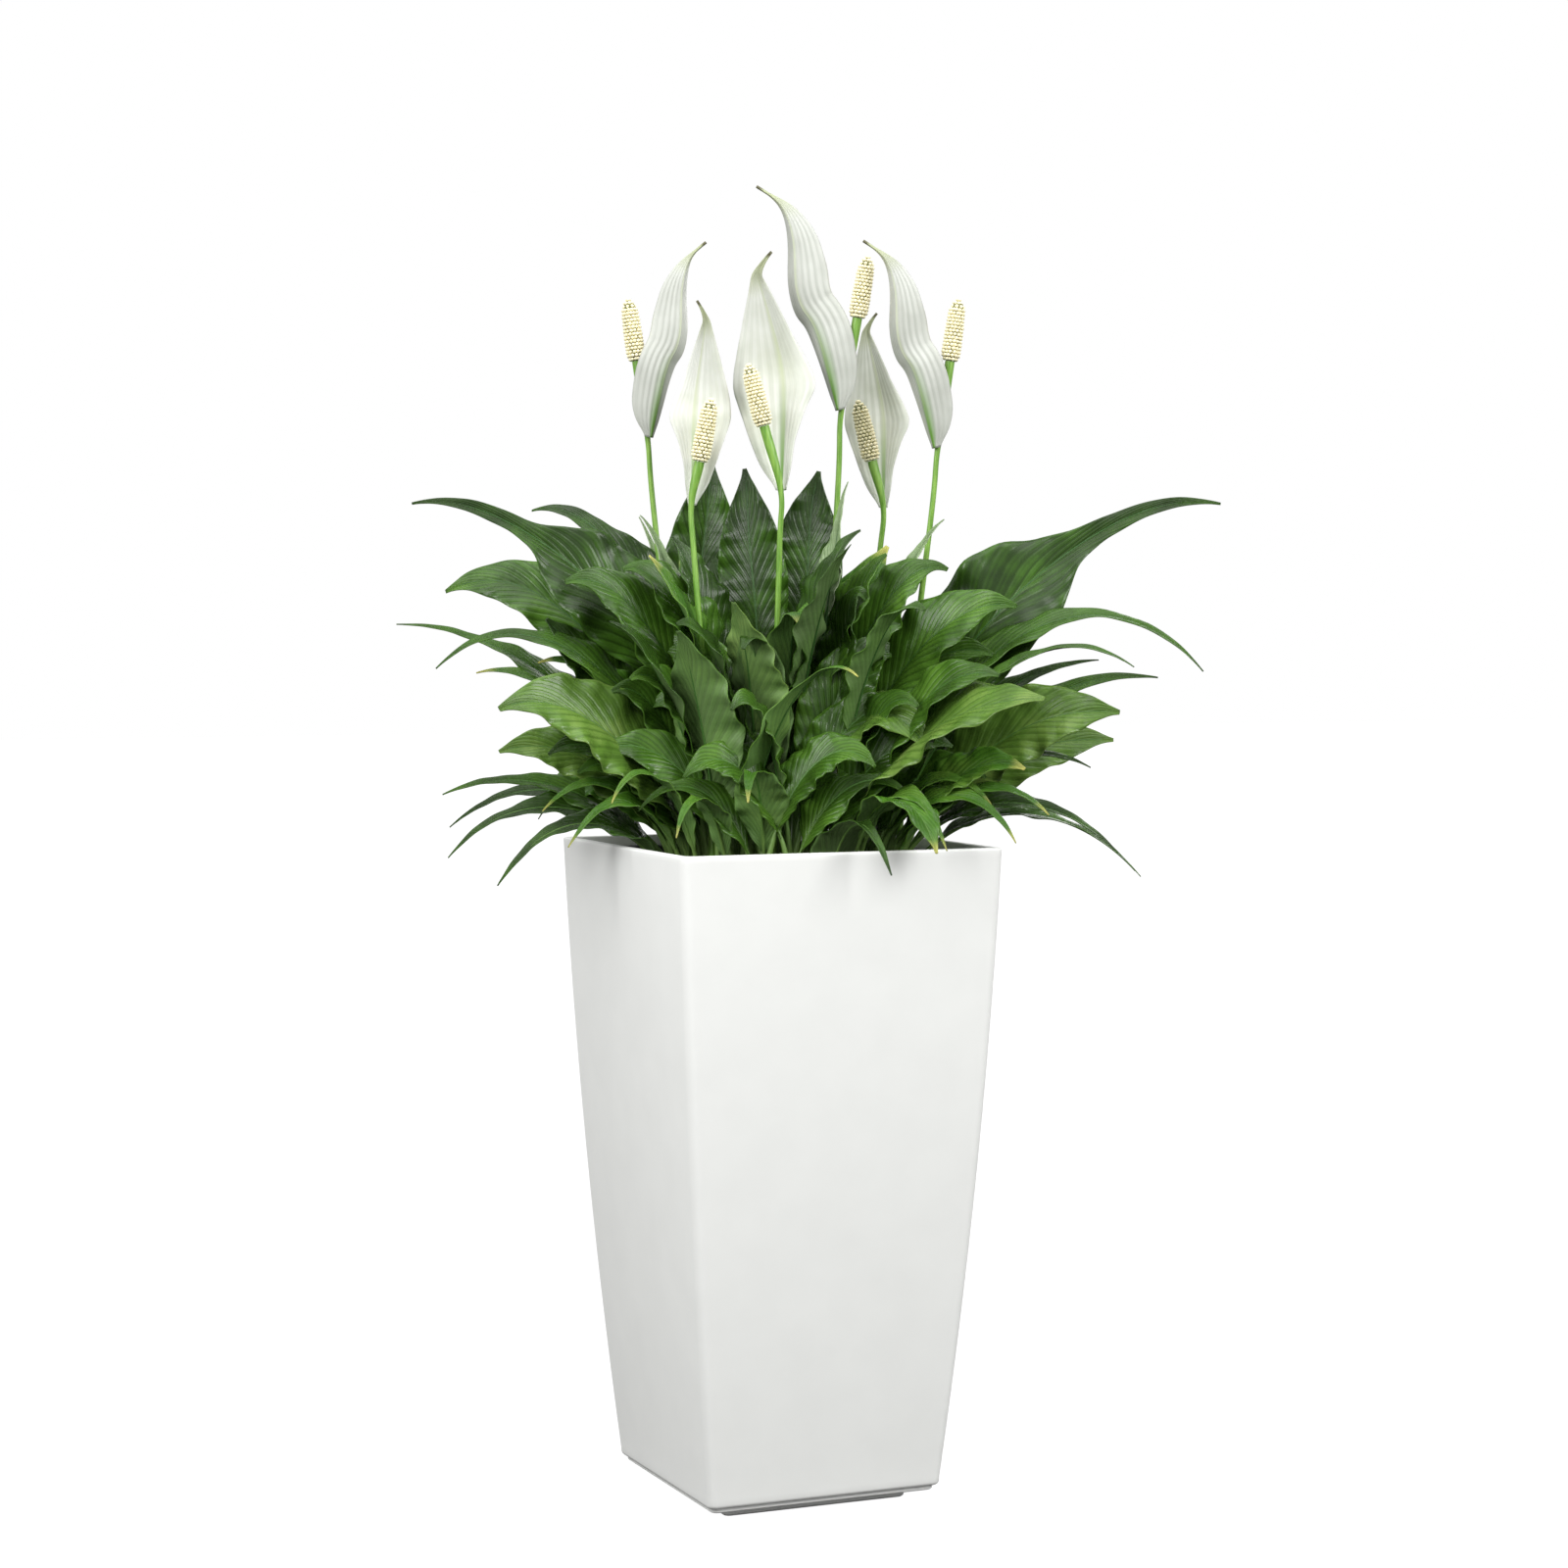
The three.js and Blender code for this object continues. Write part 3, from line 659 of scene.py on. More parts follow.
def shape_blade(piece, midrib, row, chance):
    flat = places(piece)
    share, v = flat[:, 0] + 0.5, flat[:, 1] * 2
    v = np.sign(v) * np.abs(v) ** 1.15
    stalk_share = 1 - row["blade"] / midrib.length
    half = np.maximum(TAIL_HALF, row["width"] / 2 * rounded_outline(OUTLINES[row["form"]], share))
    from_midrib = np.abs(v)
    phase = [chance.uniform(0, 2 * math.pi) for _ in range(4)]
    waves = chance.uniform(2.6, 4.2)
    side_phase = np.where(v > 0, phase[0], phase[1])
    long_waves = np.sin(2 * math.pi * waves * share + side_phase)
    short_waves = 0.5 * np.sin(4.7 * math.pi * waves * share + phase[2])
    ripple = (long_waves + short_waves) * WAVES * half * from_midrib**2.2
    slant = VEIN_SLANT * from_midrib**0.8
    vein = (0.5 + 0.5 * np.cos((share - slant) * VEINS * 2 * math.pi)) ** 3
    groove = -VEIN_DEPTH * vein * soft_step(from_midrib, 0.04, 0.2) * (1 - soft_step(from_midrib, 0.8, 1.0))
    groove = groove * np.clip(half / 14, 0, 1)
    channel = -CHANNEL_DEPTH * np.exp(-((v * half / 1.8) ** 2)) * np.clip(half / 8, 0, 1)
    sag = -0.10 * half * from_midrib**3
    fold = chance.uniform(0.75, 1.2) * FOLD * half * from_midrib * soft_step(share, 0, 0.2)
    along = stalk_share + (1 - stalk_share) * share
    out = fold + ripple + groove + channel + sag
    sideways = v * half + drift(row, share, phase[3])
    put(piece, lay_along(midrib, along, sideways, out, row["roll"]))
    return stalk_share, phase[3]


def shape_stalk(piece, midrib, row, stalk_share, phase):
    flat = places(piece)
    along = (flat[:, 0] + 0.5) * 0.97
    share = (along - stalk_share) / (1 - stalk_share)
    neck = np.interp(along, [0, 0.04, stalk_share], [STALK_FOOT * 1.25, STALK_FOOT, STALK_NECK])
    radius = np.where(share < 0, neck, STALK_NECK + (MIDRIB_END - STALK_NECK) * np.clip(share, 0, 1) ** 0.6)
    sunk = -radius * 0.75 * soft_step(share, -0.02, 0.12) - 0.25 * (share > 0)
    sideways = flat[:, 1] * radius + drift(row, np.clip(share, 0, 1), phase)
    put(piece, lay_along(midrib, along, sideways, flat[:, 2] * radius + sunk, row["roll"]))


def finished_leaf(name, row, seed):
    chance = random.Random(seed)
    midrib = leaf_midrib(row)
    blade = copy_of(blade_blank, name)
    stalk_share, phase = shape_blade(blade, midrib, row, chance)
    give(blade, *LEAF_FINISHES[row["finish"]], STALK)
    thickness = blade.modifiers.new("thickness", "SOLIDIFY")
    thickness.thickness = BLADE_THICKNESS * MM
    thickness.offset = 0
    thickness.material_offset = 1
    bpy.ops.object.modifier_apply(modifier=thickness.name)
    stalk = copy_of(stalk_blank, f"{name}_stalk")
    shape_stalk(stalk, midrib, row, stalk_share, phase)
    give(stalk, *LEAF_FINISHES[row["finish"]], STALK)
    for face in stalk.data.polygons:
        face.material_index = 2
    blade.select_set(True)
    bpy.context.view_layer.objects.active = blade
    bpy.ops.object.join()
    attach(blade, "root")
    return blade


# %% [markdown]
# ## The leaves of the solids
# Each row stands for one solid leaf, and the finished leaf replaces it.

# %% Leaves that replace a solid
LEAF_ROWS = {
    "upright": [
        [126, 100, 372, 346, 190, 68, 110, 70, "broad", 10],
        [132, 48, 361, 320, 185, 62, 20, -45, "broad", -12],
        [55, 67, 360, 315, 170, 64, 40, 50, "broad", 13],
        [248, 98, 241, 215, 165, 66, 34, -20, "broad"],
        [234, 149, 217, 195, 180, 70, 86, 0, "broad"],
        [201, 160, 237, 223, 180, 58, 66, -20, "broad", 3],
        [331, 83, 303, 288, 190, 76, 26, 25, "broad", -90],
        [150, 142, 320, 290, 130, 26, 88, -20, "long"],
        [22, 160, 316, 288, 170, 44, 56, 0, "long"],
    ],
    "left": [
        [183, 320, 324, 350, 300, 92, 34, -62, "tailed"],
        [160, 236, 328, 348, 220, 74, 48, -50, "long", -3],
        [172, 300, 253, 296, 210, 62, 66, -58, "broad"],
        [182, 335, 225, 225, 230, 40, 78, -30, "long"],
        [190, 302, 185, 270, 240, 46, 56, -34, "long"],
        [168, 277, 179, 194, 200, 48, 88, -46, "long"],
        [206, 262, 148, 176, 220, 84, 80, -58, "broad"],
        [195, 250, 113, 140, 170, 58, 94, -56, "broad"],
        [184, 296, 75, 112, 230, 50, 102, -34, "long"],
        [202, 262, 0, 84, 200, 42, 108, -30, "long"],
    ],
    "right": [
        [1, 392, 323, 346, 360, 104, 78, 64, "tailed", -8],
        [350, 372, 180, 308, 310, 48, 84, 30, "long", -3],
        [337, 330, 188, 248, 250, 42, 102, 20, "long", -2],
        [0, 337, 178, 186, 240, 50, 104, 50, "long"],
        [324, 277, 162, 172, 250, 84, 58, 40, "broad", -2],
        [345, 306, 150, 158, 200, 74, 108, 62, "broad"],
        [7, 304, 122, 132, 190, 60, 112, 58, "broad"],
        [334, 257, 60, 112, 170, 48, 116, 24, "long", -6],
        [355, 320, 0, 94, 220, 36, 118, 16, "long"],
    ],
    "front": [
        [297, 208, 14, 86, 190, 44, 100, 0, "long"],
        [311, 204, 30, 112, 130, 46, 96, 0, "broad"],
        [262, 178, 74, 132, 140, 48, 80, 0, "long"],
        [294, 160, 178, 214, 185, 56, 74, 10, "long", -50],
        [319, 167, 235, 262, 160, 60, 56, 20, "broad", 6],
    ],
    "back": [
        [40, 300, 150, 240, 240, 72, 70, 30, "long", -14],
        [62, 260, 60, 150, 200, 60, 100, 20, "long"],
        [85, 290, 190, 265, 240, 76, 80, -20, "broad"],
        [112, 310, 110, 190, 240, 62, 96, -30, "long"],
        [138, 300, 40, 130, 220, 58, 104, -20, "long"],
    ],
}
LEAF_COLUMNS = ("turn", "reach", "tip", "crest", "blade", "width", "base", "roll", "form", "swing")
FINISH_OF = {
    "upright": ["deep", "deep", "deep", "light", "mid", "deep", "deep", "pale", "light"],
    "left": ["deep", "deep", "mid", "mid", "mid", "bright", "light", "light", "mid", "deep"],
    "right": ["deep", "mid", "mid", "mid", "light", "light", "light", "bright", "mid"],
    "front": ["deep", "bright", "bright", "bright", "mid"],
    "back": ["mid", "deep", "deep", "mid", "deep"],
}


def leaf_row(numbers, finish):
    row = {"swing": 0, "finish": finish}
    row.update(zip(LEAF_COLUMNS, numbers))
    return row


for group, rows in LEAF_ROWS.items():
    for i, numbers in enumerate(rows):
        node = f"{group}_leaf_{i + 1}"
        piece = finished_leaf(f"{group}_blade_{i + 1}", leaf_row(numbers, FINISH_OF[group][i]), seed=node)
        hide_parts(node)
print("leaves that replace a solid:", sum(len(rows) for rows in LEAF_ROWS.values()))

# %% [markdown]
# ## The rest of the foliage
# A full pot has about three times as many leaves. First come some with a place of their own: fresh ones
# that droop over the rim, broad ones that lie across the front, low ones reaching far out, and young
# ones still rolled into a spear.

# %% Leaves with a place of their own
DROOPING = [
    [212, 212, 33, 105, 140, 30, 96, -28, "long"],
    [203, 220, 62, 120, 145, 32, 96, -36, "long"],
    [222, 190, 71, 130, 140, 34, 92, -20, "long"],
    [315, 205, 32, 118, 140, 30, 96, 24, "long"],
    [327, 240, 37, 115, 150, 34, 98, 30, "long"],
    [330, 210, 65, 125, 140, 32, 96, 36, "long"],
    [243, 188, 44, 108, 130, 30, 94, -10, "long"],
    [188, 212, 190, 215, 150, 50, 70, -50, "long"],
]
ACROSS = [
    [322, 150, 150, 178, 170, 56, 60, 58, "broad"],
    [219, 162, 176, 196, 170, 60, 58, -58, "broad"],
    [338, 196, 92, 122, 160, 50, 84, 52, "broad"],
    [204, 190, 96, 128, 160, 50, 82, -54, "broad"],
    [345, 214, 236, 262, 190, 70, 46, 56, "broad"],
    [328, 224, 182, 200, 200, 60, 70, 50, "broad"],
    [196, 190, 256, 280, 190, 70, 40, -56, "broad"],
    [350, 150, 268, 292, 180, 70, 24, 50, "broad"],
    [196, 140, 270, 292, 180, 70, 24, -50, "broad"],
    [205, 170, 110, 142, 150, 48, 84, -58, "broad", 40],
    [335, 168, 118, 148, 150, 50, 84, 58, "broad", -40],
    [218, 150, 62, 116, 140, 42, 92, -50, "long", 40],
    [322, 150, 68, 118, 140, 42, 92, 50, "long", -44],
    [232, 132, 92, 140, 130, 44, 90, -50, "broad", 45],
    [308, 134, 100, 146, 130, 46, 90, 50, "broad", -45],
    [340, 120, 140, 180, 150, 54, 70, 58, "broad", -60],
    [200, 120, 146, 186, 150, 54, 70, -58, "broad", 60],
    [250, 120, 150, 190, 130, 46, 70, -40, "broad", 30],
    [352, 110, 190, 226, 160, 60, 60, 60, "broad", -70],
    [188, 110, 196, 232, 160, 60, 60, -60, "broad", 70],
]
OUTER = [
    [348, 278, 98, 140, 170, 40, 96, 30, "long"],
    [176, 294, 44, 110, 200, 36, 96, -40, "long"],
    [4, 287, 193, 195, 190, 34, 90, 50, "long"],
    [190, 292, 20, 98, 190, 40, 104, -30, "long"],
    [350, 300, 22, 104, 190, 40, 106, 26, "long"],
]
SPEARS = [
    [175, 121, 320, 300, 110, 30, 60, -40, "long"],
    [0, 64, 348, 320, 120, 30, 30, 40, "long"],
    [0, 147, 316, 296, 110, 30, 60, 40, "long"],
]
PLACED = {"bright": DROOPING, "mid": ACROSS, "deep": OUTER, "pale": SPEARS}
for finish, rows in PLACED.items():
    for i, numbers in enumerate(rows):
        finished_leaf(f"{finish}_placed_leaf_{i + 1}", leaf_row(numbers, finish), seed=f"{finish}{i}")

# %% [markdown]
# The others are scattered in rings: upright ones in the middle, longer ones arching outwards, and
# lower ones near the rim. Each is rolled so that its upper face turns to the front.

# %% Leaves between the others
RINGS = [
    # ring, how many, and the spans of their turn, reach, tip, crest, blade, width and base
    ("inner", 16, (0, 360), (60, 130), (200, 300), (220, 290), (150, 190), (54, 72), (8, 50)),
    ("middle", 16, (-44, 224), (140, 220), (110, 230), (170, 260), (160, 210), (54, 72), (30, 80)),
    ("outer", 14, (-30, 210), (180, 240), (40, 120), (110, 170), (130, 170), (40, 56), (80, 110)),
]
chance = random.Random(11)
for ring, count, (first_turn, last_turn), *spans in RINGS:
    for i in range(count):
        turn = first_turn + (last_turn - first_turn) * (i + chance.uniform(0.1, 0.9)) / count
        others = [chance.uniform(*span) for span in spans]
        roll = 55 * math.cos(math.radians(turn)) + chance.uniform(-12, 12)
        finish = chance.choice(["deep", "deep", "mid", "light", "bright"])
        row = leaf_row([turn, *others, roll, "broad"], finish)
        finished_leaf(f"{ring}_leaf_{i + 1}", row, seed=f"{ring}{i}")

# %% [markdown]
# ## Flowers
# A flower's stalk, the scape, rises bare from the soil and widens under the spadix. The spathe is a
# leaf turned white: a kite-shaped sheet, pleated lengthwise, cupped around the spadix, whose tip is
# drawn out into a greenish cusp that often curls away.

# %% Flower finishes
PLEATS = 5  # lengthwise pleats in each half of a spathe


def spathe_finish(name, shadow, light, pleat_shade, pleat_amount, midrib_green):
    finish = Finish(name, 0.42)
    along, from_midrib = finish.blade_map()
    where = finish.coordinates("Object")
    body = finish.ramp(finish.noise(where, 22, 3), (0.35, paint(shadow)), (0.65, paint(light)))
    wander = finish.times(finish.noise(where, 14, 2), 3.0)
    # The pleats' grooves and fine lengthwise lines are painted a greyer colour: partly the spathe's faint
    # veins, partly painted shade in the grooves.
    course = finish.math("MULTIPLY_ADD", from_midrib, PLEATS * 2 * math.pi, wander)
    pleats = finish.math("MULTIPLY_ADD", finish.math("COSINE", course), -0.5, 0.5)
    fine = finish.wave(finish.times(course, 3.0))
    lines = finish.math("MULTIPLY_ADD", fine, 0.35, finish.times(pleats, 0.65))
    body = finish.mix(finish.times(lines, pleat_amount), body, paint(pleat_shade))
    midrib = finish.ramp(from_midrib, (0.0, WHITE), (0.10, BLACK))
    body = finish.mix(finish.times(midrib, 0.5), body, paint("#b4c08e"))
    base = finish.ramp(along, (0.05, WHITE), (0.45, BLACK))
    near = finish.times(base, finish.ramp(from_midrib, (0.05, WHITE), (midrib_green, BLACK)))
    body = finish.mix(near, body, paint("#5b8a2c"))
    tip = finish.ramp(along, (0.80, BLACK), (0.93, WHITE))
    body = finish.mix(finish.times(tip, 0.8), body, paint("#a3ac7c"))
    finish.color(finish.mix(finish.ramp(along, (0.965, BLACK), (0.985, WHITE)), body, paint("#5c5a3c")))
    finish.bump(pleats, 0.3, 0.5)
    return finish.material


# A spathe is white on both sides. Both finishes are painted greyer, which is painted shade, and the one for
# spathes that look away is a darker copy: more painted shade for their turned backs.
SPATHE_FACE = spathe_finish("white_spathe_face", "#c2c6b8", "#dee0d9", "#a9b09d", 0.32, 0.2)
SPATHE_SHADED_BACK = spathe_finish("white_spathe_back_painted_shade", "#aaada4", "#c2c5bd", "#8e9188", 0.28, 0.35)
STREAKS, STALK_NOISE = [(0.35, "#5e8f2c"), (0.65, "#86b04c")], (60, 3, (6, 6, 0.6))
SCAPE = speckled("flower_stalk", 0.4, STALK_NOISE, STREAKS, STALK_NOISE, 0.2, 0.4)
# The core shows only in the gaps between the florets, and it is painted a dark olive: painted shade in
# those gaps.
CREAM, OLIVE_SHADE = [(0.3, "#f2e8b8"), (0.65, "#fdf6d6")], [(0.3, "#4a4e26"), (0.65, "#6d6f38")]
FLORET = speckled("spadix_florets", 0.62, (420, 3), CREAM, (420, 3), 0.2, 0.6)
SPADIX_SHADED_CORE = speckled("spadix_between_florets_painted_shade", 0.62, (420, 3), OLIVE_SHADE, (420, 3), 0.2, 0.6)

# %% Flowers
FLOWER_ROWS = [
    # where the stalk leaves the soil and the spathe the stalk; the spathe's rise, bow, sway, shape,
    # wider half and its side, how far its edges come forward, where it faces; the spadix's place
    dict(foot=(-84, 22), node=(-115, 22, 388), rise=172, bow=8, sway=49, shape="away", half=21, full=1,
         cup=0.8, facing=118, neck=68, lean=-8),
    dict(foot=(-56, -52), node=(-75, -40, 326), rise=178, bow=20, sway=12, shape="forward", half=33, full=1,
         cup=0.3, facing=268, neck=38, lean=11),
    dict(foot=(-4, -14), node=(3, -24, 340), rise=208, bow=26, sway=-22, shape="forward", half=45, full=-1,
         cup=0.3, facing=262, neck=56, lean=-15),
    dict(foot=(40, 24), node=(57, 22, 412), rise=197, bow=8, sway=-72, shape="away", half=24, full=-1,
         cup=0.8, facing=62, neck=82, lean=10),
    dict(foot=(70, 86), node=(96, 66, 328), rise=175, bow=20, sway=-16, shape="forward", half=36, full=-1,
         cup=0.3, facing=264, neck=42, lean=-14),
    dict(foot=(108, 22), node=(142, 10, 378), rise=182, bow=8, sway=-63, shape="away", half=22, full=-1,
         cup=0.8, facing=62, neck=77, lean=8),
]
SCAPE_FOOT, SCAPE_NECK, SCAPE_TOP = 3.2, 2.4, 4.4
SCAPE_LOW, SCAPE_HIGH = 0.35, 0.85  # two places on the way up that its line goes through
SCAPE_UPRIGHT = 0.4  # how much steeper than straight it starts
SPADIX_LENGTH, SPADIX_RADIUS = 56, 8.8
SPATHE_THICKNESS = 0.9
SPATHE_STAND_OFF = 7  # from the middle of the stalk back to the spathe
SPATHE_TAIL_HALF = 1.0
SPATHE_CURL = 1.4  # how much more its edges come forward than its middle
PLEAT_DEPTH, FLARE = 0.35, 0.22


def standing(spot):
    return np.array([spot[0], spot[1], SOIL_Z + spot[2]], float)


def scape_line(row):
    """Points up the flower stalk, ending under the spadix, and the direction it ends in."""
    start = standing((*row["foot"], SOIL_CROWN + GAP))
    joint = standing(row["node"])
    rise = joint - start
    under = start + SCAPE_LOW * rise
    under[0] += SCAPE_UPRIGHT * (start[0] - under[0])
    near = start + SCAPE_HIGH * rise
    lean = math.radians(row["lean"])
    end = joint + row["neck"] * np.array([math.sin(lean), 0, 1])
    return np.array([start, under, near, joint, end]), unit(np.array([math.sin(lean), 0, 1]))


def smooth_line(points, steps):
    """A Catmull-Rom line through the points."""
    padded = np.vstack([2 * points[0] - points[1], points, 2 * points[-1] - points[-2]])
    line = []
    for a, b, c, d in zip(padded, padded[1:], padded[2:], padded[3:]):
        for t in np.linspace(0, 1, steps, endpoint=False):
            squared, cubed = 2 * a - 5 * b + 4 * c - d, 3 * b - a - 3 * c + d
            line.append(0.5 * (2 * b + (c - a) * t + squared * t**2 + cubed * t**3))
    return np.array(line + [points[-1]])


def make_scape(name, row):
    points, _ = scape_line(row)
    line = smooth_line(points, 10)
    world = turned(line) * MM
    run = np.concatenate([[0], np.cumsum(np.linalg.norm(np.diff(line, axis=0), axis=1))])
    share = run / run[-1]
    top = 1 - row["neck"] / run[-1]
    slender = SCAPE_FOOT + (SCAPE_NECK - SCAPE_FOOT) * np.minimum(share / top, 1)
    radius = slender + (SCAPE_TOP - slender) * soft_step(share, top - 0.03, top + 0.10)
    nothing_selected()
    bpy.ops.curve.primitive_nurbs_path_add()
    piece = bpy.context.object
    piece.name = name
    piece.data.splines.clear()
    spline = piece.data.splines.new("POLY")
    spline.points.add(len(line) - 1)
    for point, place, thick in zip(spline.points, world, radius):
        point.co = (*place, 1)
        point.radius = thick
    piece.data.bevel_depth = MM
    piece.data.bevel_resolution = 3
    piece.data.use_fill_caps = True
    bpy.ops.object.convert(target="MESH")
    piece = bpy.context.object
    bpy.ops.object.transform_apply()
    bpy.ops.object.shade_smooth()
    piece.data.materials.clear()
    give(piece, SCAPE)
    return piece


# %% [markdown]
# The spathe starts as a flat grid too. It is pleated and cupped while flat, then laid on a line. One
# that looks forward is a kite with a drawn-out tip. One that looks away is a lazy S.

# %% Spathe
SPATHE_SHAPES = {
    # line: (share of the sway, share of the rise); outline: (share, full half, slim half)
    "forward": dict(
        line=[(0, 0), (0.05, 0.43), (0.37, 0.64), (0.88, 0.85), (1, 0.91), (0.66, 0.97), (0.4, 1)],
        outline=[
            (0, 0.08, 0.08), (0.09, 0.42, 0.17), (0.2, 0.64, 0.22), (0.33, 0.86, 0.42),
            (0.43, 1, 0.68), (0.53, 0.93, 0.5), (0.62, 0.78, 0.34), (0.75, 0.48, 0.22),
            (0.85, 0.22, 0.12), (0.91, 0.07, 0.05), (1, 0.02, 0.02),
        ],
    ),
    "away": dict(
        line=[
            (0, 0), (0.2, 0.35), (0.38, 0.45), (0.47, 0.56),
            (0.49, 0.71), (0.56, 0.83), (0.71, 0.93), (1, 1),
        ],
        outline=[
            (0, 0.15, 0.1), (0.06, 0.6, 0.25), (0.14, 0.86, 0.35), (0.3, 1, 0.5),
            (0.45, 1, 0.55), (0.6, 0.95, 0.5), (0.74, 0.7, 0.34), (0.82, 0.42, 0.2),
            (0.88, 0.16, 0.1), (0.92, 0.05, 0.05), (1, 0.02, 0.02),
        ],
    ),
}
nothing_selected()
bpy.ops.mesh.primitive_grid_add(x_subdivisions=90, y_subdivisions=48, size=1, calc_uvs=True)
spathe_blank = bpy.context.object
spathe_blank.name = "spathe_blank"
bpy.ops.object.shade_smooth()


SUPPLE_REACH = 18  # how many points to each side soften a bend, so that it doesn't crease


class SmoothLine(Midrib):
    """A line through given points that can be asked for its point and direction."""

    def __init__(self, points):
        self.points = self.suppled(smooth_line(np.array(points), 40))
        lengths = np.linalg.norm(np.diff(self.points, axis=0), axis=1)
        self.run = np.concatenate([[0], np.cumsum(lengths)])
        self.length = self.run[-1]
        self.directions = unit(self.suppled(np.gradient(self.points, axis=0)))

    def suppled(self, values):
        """Each value's mean with its neighbours. The ends stay as they are."""
        window = np.ones(2 * SUPPLE_REACH + 1) / (2 * SUPPLE_REACH + 1)
        padded = np.pad(values, ((SUPPLE_REACH, SUPPLE_REACH), (0, 0)), mode="reflect", reflect_type="odd")
        return np.stack([np.convolve(column, window, "valid") for column in padded.T], axis=1)


def spathe_line(row):
    facing = math.radians(row["facing"])
    forward = np.array([math.cos(facing), math.sin(facing), 0])
    foot = standing(row["node"]) - SPATHE_STAND_OFF * forward
    points = []
    for sideways, up in SPATHE_SHAPES[row["shape"]]["line"]:
        bowed = row["bow"] * 4 * up * (1 - up)
        points.append(foot + np.array([row["sway"] * sideways, 0, row["rise"] * up]) - bowed * forward)
    return SmoothLine(points), forward


def make_spathe(name, row, seed):
    chance = random.Random(seed)
    midrib, forward = spathe_line(row)
    away = row["shape"] == "away"
    piece = copy_of(spathe_blank, name)
    flat = places(piece)
    share, v = flat[:, 0] + 0.5, flat[:, 1] * 2
    outline = SPATHE_SHAPES[row["shape"]]["outline"]
    full = rounded_outline([(at, wide) for at, wide, _ in outline], share, 0.03)
    slim = rounded_outline([(at, wide) for at, _, wide in outline], share, 0.03)
    on_full_side = v * row["full"] > 0
    half = np.maximum(SPATHE_TAIL_HALF, row["half"] * np.where(on_full_side, full, slim))
    from_midrib = np.abs(v)
    cup = row["cup"] * half * from_midrib**SPATHE_CURL
    flare = (0 if away else -FLARE) * half * from_midrib**4 * soft_step(share, 0.2, 0.4)
    width = half / row["half"]
    pleat_course = from_midrib * PLEATS * 2 * math.pi
    pleats = PLEAT_DEPTH * np.cos(pleat_course) * width * (1 - from_midrib**6)
    phase = chance.uniform(0, 2 * math.pi)
    ripple = 0.05 * half * from_midrib**3 * np.sin(2 * math.pi * 2.6 * share + phase + np.sign(v))
    centre, direction = midrib.at(share)
    front = unit(forward - direction * (direction @ forward)[:, None])
    side = np.cross(direction, front)
    points = centre + side * (v * half)[:, None] + front * (cup + flare + pleats + ripple)[:, None]
    put(piece, turned(points) * MM)
    give(piece, SPATHE_SHADED_BACK if away else SPATHE_FACE)
    thickness = piece.modifiers.new("thickness", "SOLIDIFY")
    thickness.thickness = SPATHE_THICKNESS * MM
    thickness.offset = 0
    bpy.ops.object.modifier_apply(modifier=thickness.name)
    return piece


# %% [markdown]
# The spadix is a core packed with florets, small round bumps in rings, each ring set half a floret
# round from the last. One floret is made, copied into rings, and the rings close in at the top.

# %% Spadix
FLORET_RINGS, FLORETS_ROUND, TIP_FLORETS_ROUND = 17, 13, 7
FLORET_HEIGHT, FLORET_WIDTH, FLORET_LENGTH = 1.8, 1.85, 1.7  # half of each, out of, round and along
FLORET_SUNK, CORE_SUNK = 1.7, 1.9  # how far inside the spadix's radius the florets and the core are
nothing_selected()
bpy.ops.mesh.primitive_uv_sphere_add(segments=6, ring_count=4, radius=1)
floret_blank = bpy.context.object
bpy.ops.object.shade_smooth()
nothing_selected()
bpy.ops.mesh.primitive_uv_sphere_add(segments=20, ring_count=24, radius=1)
core_blank = bpy.context.object
bpy.ops.object.shade_smooth()


def spadix_radius(share):
    taper = math.sqrt(max(0.0, 1 - 0.62 * max(0, share - 0.25) ** 1.6))
    return SPADIX_RADIUS * taper * min(1.0, 0.72 + share * 3)


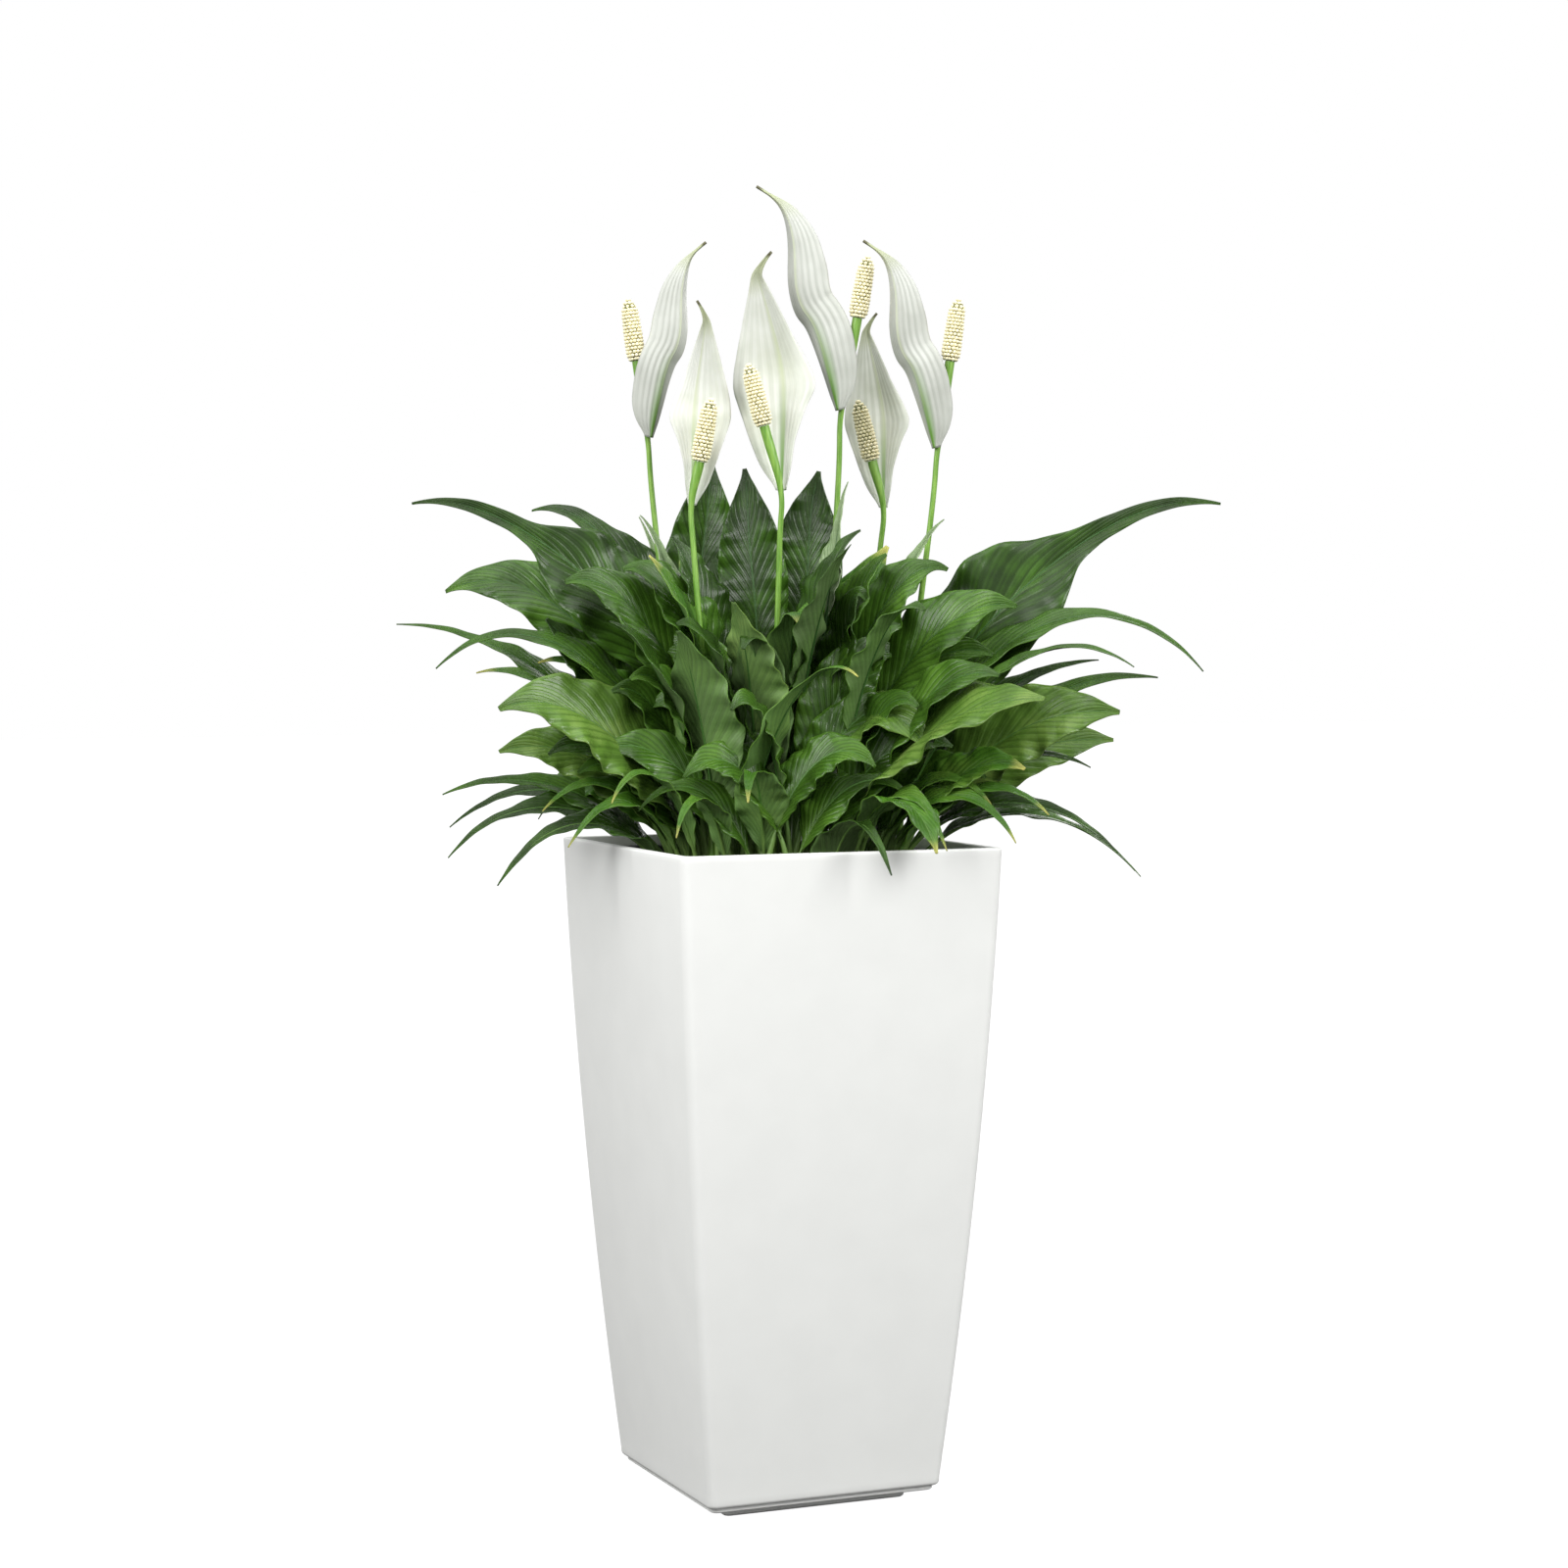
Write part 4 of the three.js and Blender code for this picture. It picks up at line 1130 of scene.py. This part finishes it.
def make_spadix(name, row, seed):
    chance = random.Random(seed)
    points, lean = scape_line(row)
    foot = points[-1] + GAP * lean
    side = unit(np.cross(lean, [0.0, 1.0, 0.0]))
    front = np.cross(side, lean)
    core = copy_of(core_blank, name)
    ball = places(core)
    height = ball[:, 2] * 0.5 + 0.5
    radius = np.array([spadix_radius(h) for h in height]) - CORE_SUNK
    reach = np.maximum(np.hypot(ball[:, 0], ball[:, 1]), 1e-6)
    fullness = np.minimum(1.0, reach * 1.6) / reach * radius  # the ball's ends are filled out
    spots = foot + lean * (height * (SPADIX_LENGTH - 2))[:, None]
    spots = spots + side * (ball[:, 0] * fullness)[:, None] + front * (ball[:, 1] * fullness)[:, None]
    put(core, turned(spots) * MM)
    give(core, SPADIX_SHADED_CORE, FLORET)

    bump = places(floret_blank)
    faces = [list(face.vertices) for face in floret_blank.data.polygons]
    vertices, polygons = [], []
    for ring in range(FLORET_RINGS + 1):
        share = (ring + 0.5) / (FLORET_RINGS + 0.6)
        closing = min(1.0, (1.0 - share) * 6)
        count = FLORETS_ROUND if closing > 0.8 else TIP_FLORETS_ROUND
        around = (spadix_radius(share) - FLORET_SUNK) * math.sqrt(closing)
        for i in range(count):
            angle = 2 * math.pi * (i + 0.5 * (ring % 2)) / count + chance.uniform(-0.05, 0.05)
            out = side * math.cos(angle) + front * math.sin(angle)
            across = front * math.cos(angle) - side * math.sin(angle)
            centre = foot + lean * share * (SPADIX_LENGTH - 1.5) + out * around
            size = chance.uniform(0.92, 1.08)
            spots = centre + np.outer(bump[:, 2], out) * FLORET_HEIGHT * size
            spots = spots + np.outer(bump[:, 0], across) * FLORET_WIDTH * size
            spots = spots + np.outer(bump[:, 1], lean) * FLORET_LENGTH * size
            first = len(vertices)
            vertices.extend(turned(spots) * MM)
            polygons.extend([[first + k for k in face] for face in faces])
    florets = bpy.data.meshes.new(f"{name}_florets")
    florets.from_pydata([tuple(v) for v in vertices], [], polygons)
    knobs = bpy.data.objects.new(f"{name}_florets", florets)
    bpy.context.collection.objects.link(knobs)
    give(knobs, SPADIX_SHADED_CORE, FLORET)
    for face in florets.polygons:
        face.material_index = 1
        face.use_smooth = True
    knobs.select_set(True)
    core.select_set(True)
    bpy.context.view_layer.objects.active = core
    bpy.ops.object.join()
    return core


for i, row in enumerate(FLOWER_ROWS):
    node = f"flower_{i + 1}"
    parts = {
        "scape": (make_scape(f"scape_{i + 1}", row), "stem"),
        "spathe": (make_spathe(f"spathe_{i + 1}", row, seed=node), "spathe"),
        "spadix": (make_spadix(f"spadix_{i + 1}", row, seed=node), "spadix"),
    }
    for part, (piece, slot) in parts.items():
        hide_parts(f"{node}_{part}")
        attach(piece, "root")

# %% Put the blanks away
nothing_selected()
for blank in (blade_blank, stalk_blank, spathe_blank, floret_blank, core_blank):
    bpy.data.objects.remove(blank, do_unlink=True)
